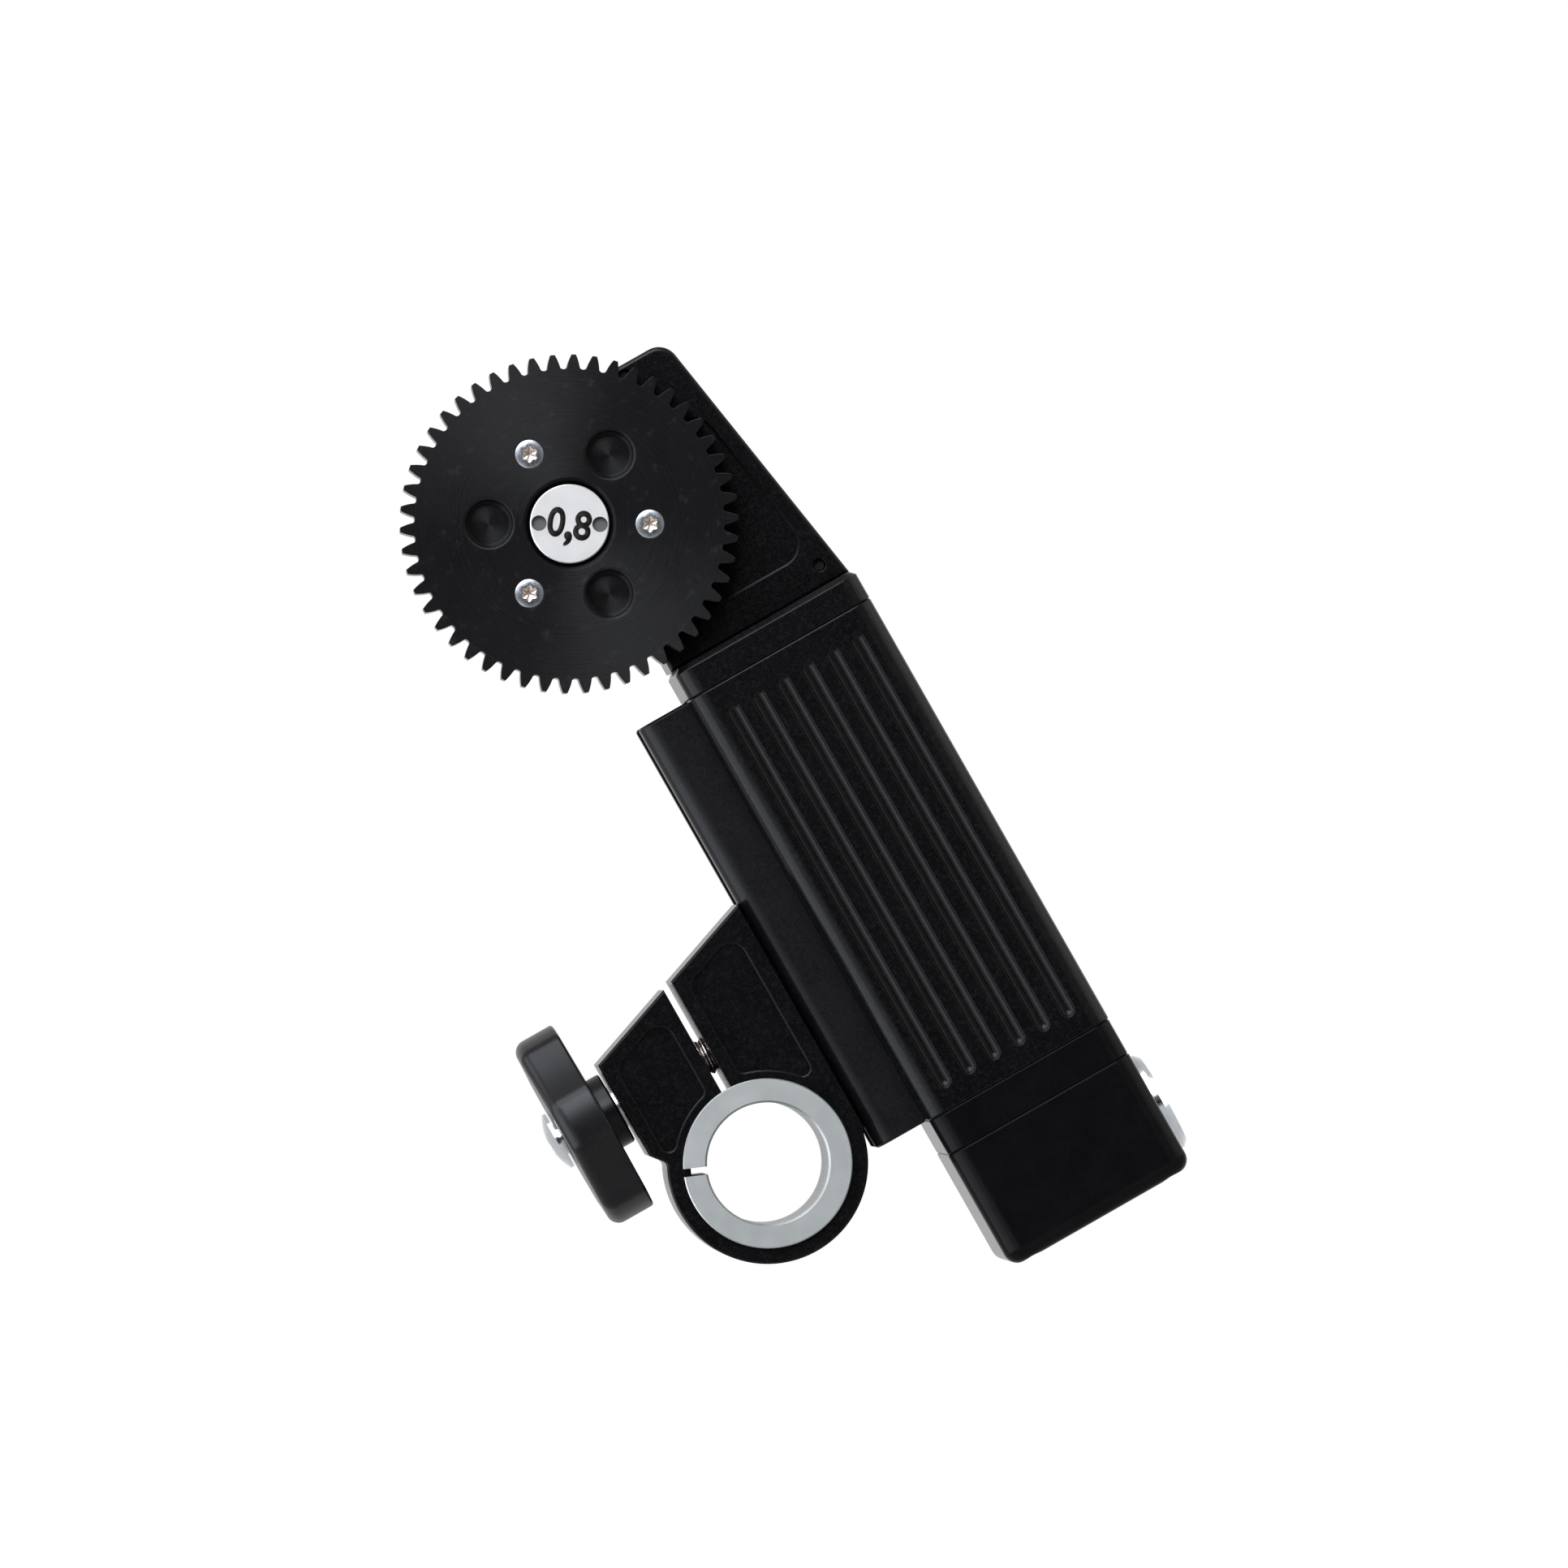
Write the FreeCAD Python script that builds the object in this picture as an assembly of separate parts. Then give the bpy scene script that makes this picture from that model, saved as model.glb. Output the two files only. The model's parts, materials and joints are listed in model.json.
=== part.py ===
import FreeCAD, Part
import math
import os

# A lens drive for a follow focus: a geared motor on a slide, clamped to a round support rod.
# Sizes are in millimetres. The origin is the centre of the rod's bore, +Z runs up along
# the motor housing, +X points from the rod to the motor, and the gear side faces -Y.

# Rod clamp and its split insert
rod_radius = 7.5
insert_wall = 2.0
insert_flange_overlap = 0.95
insert_flange_thickness = 0.8
insert_rear_reach = 0.3
insert_slit_width = 1.0
insert_slit_angle = 157.0
insert_chamfer = 0.25
clamp_depth = 18.0
clamp_ring_wall = 2.9
clamp_left_reach = 12.2
clamp_right_reach = 12.6
clamp_left_height = 20.8
clamp_top_slope = 19.45
clamp_slot_width = 1.3
clamp_slot_offset = 0.05
clamp_edge_chamfer = 0.2
ear_foot_height = 8.0
ear_notch_slope = 52.0
ear_notch_radius = 0.8
clamp_heel_depth = 2.0
clamp_heel_slope = 52.0
pocket_depth = 0.5
pocket_outer_rim = 1.7
pocket_slot_rim = 1.65
pocket_rail_rim = 2.05
pocket_top_rim = 1.8
pocket_bore_rim = 1.9
pocket_corner = 2.1
pocket_foot_corner = 1.05

# Clamp knob, stud and slot nut
stud_height = 15.0
stud_radius = 2.45
stud_clearance = 0.1
thread_clearance = 0.05
knob_lobes = 5
knob_lobe_turn = 5.0
knob_crest_radius = 12.9
knob_crest_half_angle = 14.5
knob_scallop_depth = 1.2
knob_ridge_radius = 2.4
knob_thickness = 5.75
knob_outer_fillet = 1.6
knob_inner_fillet = 0.4
knob_hub_radius = 4.73
knob_hub_length = 1.95
knob_hub_chamfer = 0.2
knob_end_skin = 0.8
bush_radius = 3.4
bush_nose_radius = 2.8
bush_nose_length = 0.35
end_screw_radius = 3.75
end_screw_rim = 0.45
end_screw_dome = 1.0
end_screw_neck_radius = 2.05
end_screw_gap = 0.4
end_screw_thread_radius = 1.5
end_screw_thread_length = 4.5
end_screw_recess = 2.5
end_screw_recess_depth = 1.1
key_width = 8.0
key_height = 2.25
key_low_end = 1.0
key_high_end = 28.0
slot_nut_thickness = 2.45
slot_nut_width = 12.0
slot_nut_length = 14.0
slot_nut_corner = 1.0

# Guide rail
slide_gap = 0.08
rail_width = 6.95
rail_depth = 16.0
rail_edge_radius = 2.3
rail_end_chamfer = 0.25
rail_lip = 2.42
rail_cavity = 3.0
key_clearance = 0.1
nut_side_clearance = 0.2
rail_screw_end_inset = 3.0
stop_radius = 1.0
stop_height_in_cavity = 1.8
slide_travel_down = 24.0
slide_travel_up = 5.0
stop_margin = 0.1

# Motor housing and what stacks on it
housing_width = 25.6
housing_depth = 28.0
housing_corner = 2.4
housing_low = -5.2
housing_end_room = 2.5
joint_chamfer = 0.15
flute_count = 6
flute_pitch = 3.5
flute_radius = 1.05
flute_rise = 0.55
flute_end_margin_low = 2.6
flute_end_margin_high = 2.9
motor_bore_radius = 11.0
band_height = 4.9
band_inset = 0.08
band_opening_radius = 7.0
foot_height = 15.9
foot_wall = 2.3
foot_floor = 2.2
foot_bottom_fillet = 1.8
post_radius = 2.9
cap_height = 4.1
cap_top_chamfer = 0.7
corner_screw_x = 9.9
corner_screw_y = 10.8
corner_screw_depth = 6.0
head_screw_spacing = 0.1
head_screw_wall = 0.75

# Gear head
head_depth = 16.0
cover_thickness = 2.0
head_front_wall = 2.7
head_right_inset = 0.35
head_slope = 9.15
head_corner = 2.6
head_edge_fillet = 0.5
head_shoulder_height = 3.6
head_shoulder_radius = 1.5
boss_radius = 14.0
gear_from_motor = 14.93
gear_above_head_base = 22.0
recess_depth = 0.6
recess_side_rim = 2.1
recess_low = 4.5
recess_high = 26.4
recess_left_from_motor = 9.0
recess_corner = 3.0
cavity_clearance = 0.5
cover_screw_right = 9.6
cover_screw_left = 11.0
cover_screw_low = 2.5
cover_screw_left_low = 5.0
cover_screw_top_x = 0.35
cover_screw_top_rim = 1.4
cover_screw_boss_angles = (125.0, 205.0)
cover_screw_boss_rim = 1.5
cover_screw_tip_gap = 1.0

# Drive gear and its hub
drive_teeth = 50
drive_module = 0.8
drive_thickness = 5.2
drive_tooth_angle = 1.35
drive_backlash = 0.06
gear_running_gap = 0.8
gear_bore_radius = 5.3
gear_bore_chamfer = 0.4
gear_screw_circle = 9.87
gear_screw_angle = -29.65
gear_screw_head_radius = 1.8
gear_screw_count = 3
dimple_radius = 2.85
dimple_rim_fillet = 0.4
dimple_floor_radius = 2.5
dimple_floor_bevel = 0.3
dimple_depth = 1.8
hub_flange_radius = 13.3
hub_flange_thickness = 1.6
hub_collar_radius = 4.2
hub_boss_length = 1.9
nut_disc_radius = 4.85
spanner_hole_radius = 0.95
spanner_hole_spacing = 7.5
spanner_hole_depth = 1.0
spanner_turn = -30.65

# Gear train
train_module = 0.5
output_teeth = 40
cross_pinion_teeth = 20
bevel_pinion_teeth = 14
bevel_wheel_teeth = 28
bevel_face_width = 2.0
bevel_wheel_back = 0.9
spur_thickness = 1.8
spur_wall_gap = 0.3
train_backlash = 0.06
pressure_angle = math.radians(20.0)
addendum = 1.0
dedendum = 1.25
bevel_addendum = 0.9
bevel_dedendum = 1.2
running_clearance = 0.05
drive_shaft_radius = 3.0
drive_thread_radius = 2.0
drive_thread_length = 1.0
drive_bearing_radius = 5.0
drive_bearing_width = 2.5
bearing_lip = 0.8
rear_bearing_proud = 1.4
output_boss_radius = 4.5
output_boss_length = 1.5
cross_shaft_radius = 1.5
cross_bush_radius = 2.6
cross_bush_front_length = 1.6
cross_bush_rear_length = 1.9
cross_bush_rear_proud = 0.7
cross_boss_radius = 3.2
cross_boss_length = 1.6
wheel_hub_radius = 3.0
wheel_hub_length = 1.8
output_shaft_radius = 2.0
output_shaft_engagement = 4.0
pinion_bush_radius = 3.6
pinion_bush_length = 4.0
pinion_bush_rise = 0.6
pinion_bore_radius = 4.5
pinion_hub_radius = 3.0
pinion_hub_length = 4.5

# Motor, gearbox and encoder
motor_radius = 10.9
gearbox_length = 20.0
motor_length = 28.0
can_wall = 1.0
can_end_wall = 1.5
winding_wall = 1.6
winding_gap = 0.1
winding_length = 21.0
rotor_radius = 7.7
rotor_length = 19.0
rotor_shaft_radius = 1.0
sun_depth = 3.6
end_cap_thickness = 2.0
encoder_radius = 10.2
encoder_length = 9.0
encoder_wall = 0.8
encoder_magnet_radius = 3.0
encoder_magnet_length = 2.0
encoder_board_radius = 9.3
encoder_board_thickness = 1.0
encoder_air_gap = 0.6

# Control board and socket
board_thickness = 1.2
board_clearance = 0.15
board_screw_reach = 8.6
socket_height = -17.6
socket_flange_radius = 6.5
socket_flange_thickness = 1.6
socket_flange_chamfer = 0.6
socket_barrel_radius = 5.5
socket_barrel_length = 8.0
socket_hole_clearance = 0.1
socket_bore_radius = 4.7
socket_nut_flats = 12.0
socket_nut_thickness = 2.05
insulator_thickness = 1.5
contact_radius = 0.45
contact_circle = 2.6
contact_count = 6
contact_front_reach = 3.2
contact_rear_reach = 1.6

# Fasteners: shank radius, head radius and head height of each size
small_screw = {"shank": 0.8, "head": 1.6, "height": 0.9}
gear_screw = {"shank": 1.0, "head": gear_screw_head_radius, "height": 0.9}
cap_head_screw = {"shank": 1.25, "head": 2.1, "height": 2.0}
gearbox_screw = {"shank": 1.0, "head": 1.7, "height": 1.6}
flat_screw = {"shank": 1.25, "head": 2.3, "height": 1.2}
hex_recess_share = 0.5
hex_recess_depth_share = 0.6

# Places that follow from the sizes
bore_radius = rod_radius + insert_wall
ring_radius = bore_radius + clamp_ring_wall
clamp_front = -clamp_depth / 2
clamp_back = clamp_depth / 2
stud_centre = (0.0, stud_height)
knob_hub_end = -clamp_left_reach - bush_nose_length
knob_inner_face = knob_hub_end - knob_hub_length
knob_outer_face = knob_inner_face - knob_thickness
rail_left = clamp_right_reach + slide_gap
rail_right = rail_left + rail_width
rail_cavity_left = rail_left + rail_lip
rail_floor = rail_cavity_left + rail_cavity
slot_nut_left = rail_cavity_left + thread_clearance
slot_nut_right = slot_nut_left + slot_nut_thickness
stud_end = rail_floor - 3 * stud_clearance
housing_left = rail_right
motor_x = housing_left + housing_width / 2
housing_right = housing_left + housing_width
housing_front = -housing_depth / 2
housing_back = housing_depth / 2
housing_length = gearbox_length + motor_length + encoder_length + housing_end_room
housing_top = housing_low + housing_length
rail_screw_low = housing_low + rail_screw_end_inset
rail_screw_high = housing_top - rail_screw_end_inset
rail_screw_heights = (rail_screw_low, (rail_screw_low + rail_screw_high) / 2, rail_screw_high)
flute_half_width = math.sqrt(flute_radius ** 2 - flute_rise ** 2)
band_low = housing_low - band_height
foot_low = band_low - foot_height
cap_top = housing_top + cap_height
head_front = -head_depth / 2
head_back = head_depth / 2
cover_front = head_back - cover_thickness
gear_x = motor_x - gear_from_motor
gear_z = cap_top + gear_above_head_base
gear_axis = (gear_x, gear_z)
head_top = gear_z + boss_radius
head_right = housing_right - head_right_inset
head_inner = head_front + head_front_wall
motor_axis = (motor_x, 0.0)
spur_front = head_inner + spur_wall_gap
spur_back = spur_front + spur_thickness
centre_distance = (output_teeth + cross_pinion_teeth) * train_module / 2
cross_z = gear_z - math.sqrt(centre_distance ** 2 - gear_from_motor ** 2)
cross_axis = (motor_x, cross_z)
output_tip = (output_teeth / 2 + addendum) * train_module
mesh_angle = math.degrees(math.atan2(cross_z - gear_z, motor_x - gear_x))
gear_back = head_front - gear_running_gap
gear_front = gear_back - drive_thickness
hub_flange_back = gear_back - gear_running_gap / 8
hub_flange_front = hub_flange_back - hub_flange_thickness
hub_boss_front = hub_flange_front - hub_boss_length
front_bearing_back = head_front + drive_bearing_width
rear_bearing_front = cover_front - rear_bearing_proud
rear_bearing_back = rear_bearing_front + drive_bearing_width
bevel_pinion_pitch = bevel_pinion_teeth * train_module / 2
bevel_wheel_pitch = bevel_wheel_teeth * train_module / 2
cone_distance = math.hypot(bevel_pinion_pitch, bevel_wheel_pitch)
gearbox_low = housing_top - gearbox_length
motor_low = gearbox_low - motor_length
encoder_low = motor_low - encoder_length
wheel_back = bevel_pinion_pitch + bevel_dedendum * train_module + bevel_wheel_back / 2
socket_centre = (0.0, socket_height)
socket_seat = housing_right
socket_barrel_end = socket_seat - socket_barrel_length
ledge_height = band_low + board_thickness + board_clearance


# Places a pair of coordinates in a plane: front is X and Z, top is X and Y, side is Y and Z.
def point(plane, pair, level):
    if plane == "front":
        return FreeCAD.Vector(pair[0], level, pair[1])
    if plane == "top":
        return FreeCAD.Vector(pair[0], pair[1], level)
    return FreeCAD.Vector(level, pair[0], pair[1])


normals = {
    "front": FreeCAD.Vector(0, 1, 0),
    "top": FreeCAD.Vector(0, 0, 1),
    "side": FreeCAD.Vector(1, 0, 0),
}


def polar(centre, radius, degrees):
    angle = math.radians(degrees)
    return (centre[0] + radius * math.cos(angle), centre[1] + radius * math.sin(angle))


# Straight runs through corners (u, v, radius), with a tangent arc at each corner that has a radius.
def rounded_path(corners, closed):
    count = len(corners)
    runs = []
    ends = []
    for index, (u, v, radius) in enumerate(corners):
        inner = closed or 0 < index < count - 1
        if radius == 0 or not inner:
            ends.append(((u, v), (u, v)))
            continue
        before = corners[index - 1]
        after = corners[(index + 1) % count]
        to_before = (before[0] - u, before[1] - v)
        to_after = (after[0] - u, after[1] - v)
        before_length = math.hypot(*to_before)
        after_length = math.hypot(*to_after)
        unit_before = (to_before[0] / before_length, to_before[1] / before_length)
        unit_after = (to_after[0] / after_length, to_after[1] / after_length)
        cosine = unit_before[0] * unit_after[0] + unit_before[1] * unit_after[1]
        half = math.acos(max(-1.0, min(1.0, cosine))) / 2
        cut = radius / math.tan(half)
        middle = (unit_before[0] + unit_after[0], unit_before[1] + unit_after[1])
        middle_length = math.hypot(*middle)
        reach = radius / math.sin(half) - radius
        start = (u + unit_before[0] * cut, v + unit_before[1] * cut)
        end = (u + unit_after[0] * cut, v + unit_after[1] * cut)
        crown = (u + middle[0] / middle_length * reach, v + middle[1] / middle_length * reach)
        ends.append((start, end, crown))
    for index, end in enumerate(ends):
        if len(end) == 3:
            runs.append(("arc", end[0], end[2], end[1]))
        if index + 1 < count or closed:
            following = ends[(index + 1) % count]
            runs.append(("line", end[1], following[0]))
    return runs


def face_of(plane, runs, level):
    edges = []
    for run in runs:
        ends = [point(plane, pair, level) for pair in run[1:]]
        if ends[0].distanceToPoint(ends[-1]) < 1e-7:
            continue
        if run[0] == "line":
            edges.append(Part.LineSegment(*ends).toShape())
        else:
            edges.append(Part.Arc(*ends).toShape())
    return Part.Face(Part.Wire(edges))


def prism(plane, runs, low, high):
    return face_of(plane, runs, low).extrude(normals[plane] * (high - low))


def rounded_box(plane, low_corner, high_corner, radius, low, high):
    corners = [
        (low_corner[0], low_corner[1], radius),
        (high_corner[0], low_corner[1], radius),
        (high_corner[0], high_corner[1], radius),
        (low_corner[0], high_corner[1], radius),
    ]
    return prism(plane, rounded_path(corners, True), low, high)


def cylinder(plane, centre, radius, low, high):
    return Part.makeCylinder(radius, high - low, point(plane, centre, low), normals[plane])


def tube(plane, centre, outer, inner, low, high):
    return cylinder(plane, centre, outer, low, high).cut(cylinder(plane, centre, inner, low, high))


# Turns an outline of (radius, level) pairs about the plane's normal through the centre.
def turned(plane, centre, profile):
    def place(radius, level):
        return point(plane, (centre[0] + radius, centre[1]), level)

    places = [place(*pair) for pair in profile]
    wire = Part.makePolygon(places + [places[0]])
    return Part.Face(wire).revolve(place(0, 0), normals[plane], 360)


def edges_along(shape, plane, pairs):
    chosen = []
    for pair in pairs:
        best = None
        for edge in shape.Edges:
            middle = edge.CenterOfMass
            run = edge.valueAt(edge.LastParameter) - edge.valueAt(edge.FirstParameter)
            if run.Length < 1e-6 or abs(run.dot(normals[plane])) < 0.999 * run.Length:
                continue
            distance = middle.distanceToPoint(point(plane, pair, middle.dot(normals[plane])))
            if best is None or distance < best[0]:
                best = (distance, edge)
        chosen.append(best[1])
    return chosen


def edges_at(shape, plane, level):
    chosen = []
    for edge in shape.Edges:
        box = edge.BoundBox
        low = {"front": box.YMin, "top": box.ZMin, "side": box.XMin}[plane]
        high = {"front": box.YMax, "top": box.ZMax, "side": box.XMax}[plane]
        if abs(low - level) < 1e-5 and abs(high - level) < 1e-5:
            chosen.append(edge)
    return chosen


def is_round(edge, radius):
    return isinstance(edge.Curve, Part.Circle) and abs(edge.Curve.Radius - radius) < 1e-5


def hexagon(plane, centre, flats, low, high, turn=0.0):
    radius = flats / math.sqrt(3)
    corners = [(*polar(centre, radius, turn + 60 * step), 0) for step in range(6)]
    return prism(plane, rounded_path(corners, True), low, high)


# A screw along a plane's normal. Its head's outer face is at head_level, and it points to tip_level.
def screw(plane, centre, size, head_level, tip_level, countersunk):
    towards = 1 if tip_level > head_level else -1
    seat = head_level + towards * size["height"]
    if countersunk:
        rim = head_level + towards * size["height"] * 0.15
        profile = [(0, head_level), (size["head"], head_level), (size["head"], rim)]
    else:
        profile = [(0, head_level), (size["head"], head_level), (size["head"], seat)]
    profile += [(size["shank"], seat), (size["shank"], tip_level), (0, tip_level)]
    body = turned(plane, centre, profile)
    depth = size["height"] * hex_recess_depth_share
    ends = sorted((head_level, head_level + towards * depth))
    return body.cut(hexagon(plane, centre, size["head"] * 2 * hex_recess_share, *ends))


# The hole that such a screw sits in.
def screw_hole(plane, centre, size, head_level, tip_level, countersunk):
    towards = 1 if tip_level > head_level else -1
    seat = head_level + towards * size["height"]
    outside = head_level - towards
    if countersunk:
        rim = head_level + towards * size["height"] * 0.15
        profile = [(0, outside), (size["head"], outside), (size["head"], rim)]
    else:
        profile = [(0, outside), (size["head"], outside), (size["head"], seat)]
    profile += [(size["shank"], seat), (size["shank"], tip_level), (0, tip_level)]
    return turned(plane, centre, profile)


def involute(angle):
    return math.tan(angle) - angle


# Half the angle that a tooth covers at a radius, for an involute tooth on a pitch circle.
def half_tooth(teeth, pitch, radius, backlash):
    base = pitch * math.cos(pressure_angle)
    at_pitch = math.pi / (2 * teeth) - backlash / (2 * pitch)
    if radius <= base:
        return at_pitch + involute(pressure_angle)
    return at_pitch + involute(pressure_angle) - involute(math.acos(base / radius))


def tooth_runs(centre, teeth, turn, profile, root_radius):
    runs = []
    step = 360.0 / teeth
    foot, middle, tip = profile
    for index in range(teeth):
        angle = turn + index * step
        left = [polar(centre, radius, angle - math.degrees(half)) for radius, half in (foot, middle, tip)]
        right = [polar(centre, radius, angle + math.degrees(half)) for radius, half in (tip, middle, foot)]
        next_foot = polar(centre, foot[0], angle + step - math.degrees(foot[1]))
        runs.append(("arc", left[0], left[1], left[2]))
        runs.append(("line", left[2], right[0]))
        runs.append(("arc", right[0], right[1], right[2]))
        runs.append(("arc", right[2], polar(centre, root_radius, angle + step / 2), next_foot))
    return runs


def spur_gear(centre, teeth, module, turn, backlash, low, high):
    pitch = teeth * module / 2
    foot = pitch - addendum * module
    tip = pitch + addendum * module
    profile = [(radius, half_tooth(teeth, pitch, radius, backlash)) for radius in (foot, pitch, tip)]
    runs = tooth_runs(centre, teeth, turn, profile, pitch - dedendum * module)
    return prism("front", runs, low, high)


# Bevel teeth: rays from the apex through an involute outline on the back cone.
# The outline is drawn at two distances from the apex, and the loft between them is cut to the blank.
def bevel_teeth(plane, centre, apex_level, towards, teeth, mate_teeth, turn):
    pitch = teeth * train_module / 2
    cone_angle = math.atan2(teeth, mate_teeth)
    virtual_pitch = pitch / math.cos(cone_angle)
    virtual_teeth = teeth / math.cos(cone_angle)
    level = cone_distance * math.cos(cone_angle)

    def ray(height):
        rise = height * train_module
        radius = pitch + rise * math.cos(cone_angle)
        half = half_tooth(virtual_teeth, virtual_pitch, virtual_pitch + rise, train_backlash)
        half_width = half * (virtual_pitch + rise)
        tilt = cone_angle + math.atan2(rise, cone_distance)
        return (level * math.tan(tilt), half_width / radius)

    foot = ray(-bevel_addendum)
    root = ray(-bevel_dedendum)[0]
    profile = [foot, ray(0), ray(bevel_addendum)]
    inner_share = (cone_distance - bevel_face_width) / cone_distance
    rise = train_module * math.sin(cone_angle) / level
    shares = (inner_share * (1 - bevel_addendum * rise) * 0.98, (1 + bevel_dedendum * rise) * 1.01)
    wires = []
    for share in shares:
        scaled = [(radius * share, half) for radius, half in profile]
        runs = tooth_runs(centre, teeth, turn, scaled, root * share)
        wires.append(face_of(plane, runs, apex_level + towards * level * share).OuterWire)
    teeth_solid = Part.makeLoft(wires, True, True)
    along = math.cos(cone_angle) * train_module
    across = math.sin(cone_angle) * train_module
    tip_radius = pitch + bevel_addendum * along
    tip_level = level - bevel_addendum * across
    root_radius = pitch - bevel_dedendum * along
    root_level = level + bevel_dedendum * across
    blank = [
        (0, root_level * inner_share),
        (root_radius * inner_share, root_level * inner_share),
        (tip_radius * inner_share, tip_level * inner_share),
        (tip_radius, tip_level),
        (root_radius, root_level),
        (0, root_level),
    ]
    blank = [(radius, apex_level + towards * height) for radius, height in blank]
    teeth_solid = teeth_solid.common(turned(plane, centre, blank))
    return teeth_solid, root_radius, root_level, root_level * inner_share


def slope_height(x):
    return clamp_left_height + (x + clamp_left_reach) * math.tan(math.radians(clamp_top_slope))


# A line that leaves the clamp's side at a slope and ends inside the ring.
def inside_ring(x, z, slope):
    run = clamp_ring_wall
    side = 1 if x < 0 else -1
    return (x + side * run * math.cos(math.radians(slope)), z - run * math.sin(math.radians(slope)))


def ring_crossing(outer, inner):
    low, high = 0.0, 1.0
    for _ in range(40):
        share = (low + high) / 2
        spot = (outer[0] + (inner[0] - outer[0]) * share, outer[1] + (inner[1] - outer[1]) * share)
        if math.hypot(*spot) > ring_radius:
            low = share
        else:
            high = share
    return spot


def pocket(left, right, low, high):
    corners = []
    top_drop = pocket_top_rim / math.cos(math.radians(clamp_top_slope))
    corners.append((left, 0, 0))
    corners.append((right, 0, 0))
    corners.append((right, slope_height(right) - top_drop, pocket_corner))
    corners.append((left, slope_height(left) - top_drop, pocket_corner))
    tool = prism("front", rounded_path(corners, True), low, high)
    reach = bore_radius + pocket_bore_rim
    tool = tool.cut(cylinder("front", (0, 0), reach, low, high))
    tool = max(tool.Solids, key=lambda solid: solid.BoundBox.ZMax)
    feet = [(x, math.sqrt(max(reach ** 2 - x ** 2, 0))) for x in (left, right)]
    return tool.makeFillet(pocket_foot_corner, edges_along(tool, "front", feet))


def make_rod_clamp():
    foot = (-clamp_left_reach, ear_foot_height)
    foot_end = inside_ring(*foot, ear_notch_slope)
    heel = (clamp_right_reach, -clamp_heel_depth)
    heel_end = inside_ring(*heel, clamp_heel_slope)
    corners = [
        (*foot, 0), (*foot_end, 0), (0, heel_end[1], 0), (*heel_end, 0), (*heel, 0),
        (clamp_right_reach, slope_height(clamp_right_reach), 0),
        (-clamp_left_reach, clamp_left_height, 0),
    ]
    body = prism("front", rounded_path(corners, True), clamp_front, clamp_back)
    body = body.fuse(cylinder("front", (0, 0), ring_radius, clamp_front, clamp_back)).removeSplitter()
    notch = edges_along(body, "front", [ring_crossing(foot, foot_end)])
    body = body.makeFillet(ear_notch_radius, notch)
    outline = edges_at(body, "front", clamp_front) + edges_at(body, "front", clamp_back)
    body = body.makeChamfer(clamp_edge_chamfer, outline)
    key = rounded_box("side", (-key_width / 2, key_low_end), (key_width / 2, key_high_end),
                      key_width / 8, clamp_right_reach, clamp_right_reach + key_height)
    body = body.fuse(key)
    body = body.cut(cylinder("front", (0, 0), bore_radius, clamp_front, clamp_back))
    slot_left = clamp_slot_offset - clamp_slot_width / 2
    slot_right = clamp_slot_offset + clamp_slot_width / 2
    slot_top = slope_height(slot_right) + 1
    slot = Part.makeBox(clamp_slot_width, clamp_depth, slot_top, FreeCAD.Vector(slot_left, clamp_front, 0))
    body = body.cut(slot)
    hole = cylinder("side", stud_centre, stud_radius + stud_clearance,
                    -clamp_left_reach - 1, clamp_right_reach + key_height + 1)
    body = body.cut(hole)
    for low, high in ((clamp_front, clamp_front + pocket_depth), (clamp_back - pocket_depth, clamp_back)):
        left_pocket = pocket(-clamp_left_reach + pocket_outer_rim, slot_left - pocket_slot_rim, low, high)
        right_pocket = pocket(slot_right + pocket_slot_rim, clamp_right_reach - pocket_rail_rim, low, high)
        body = body.cut(left_pocket).cut(right_pocket)
    return body


def make_rod_insert():
    front = clamp_front - insert_flange_thickness
    back = clamp_back + insert_rear_reach
    flange = bore_radius + insert_flange_overlap
    soft = insert_chamfer / 2
    profile = [
        (rod_radius + insert_chamfer, front), (flange - soft, front), (flange, front + soft),
        (flange, clamp_front), (bore_radius, clamp_front), (bore_radius, back - insert_chamfer),
        (bore_radius - insert_chamfer, back), (rod_radius + insert_chamfer, back),
        (rod_radius, back - insert_chamfer), (rod_radius, front + insert_chamfer),
    ]
    body = turned("front", (0, 0), profile)
    slit = Part.makeBox(flange + 1, back - front, insert_slit_width,
                        FreeCAD.Vector(0, front, -insert_slit_width / 2))
    slit.rotate(FreeCAD.Vector(0, 0, 0), FreeCAD.Vector(0, 1, 0), -insert_slit_angle)
    return body.cut(slit)


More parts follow.
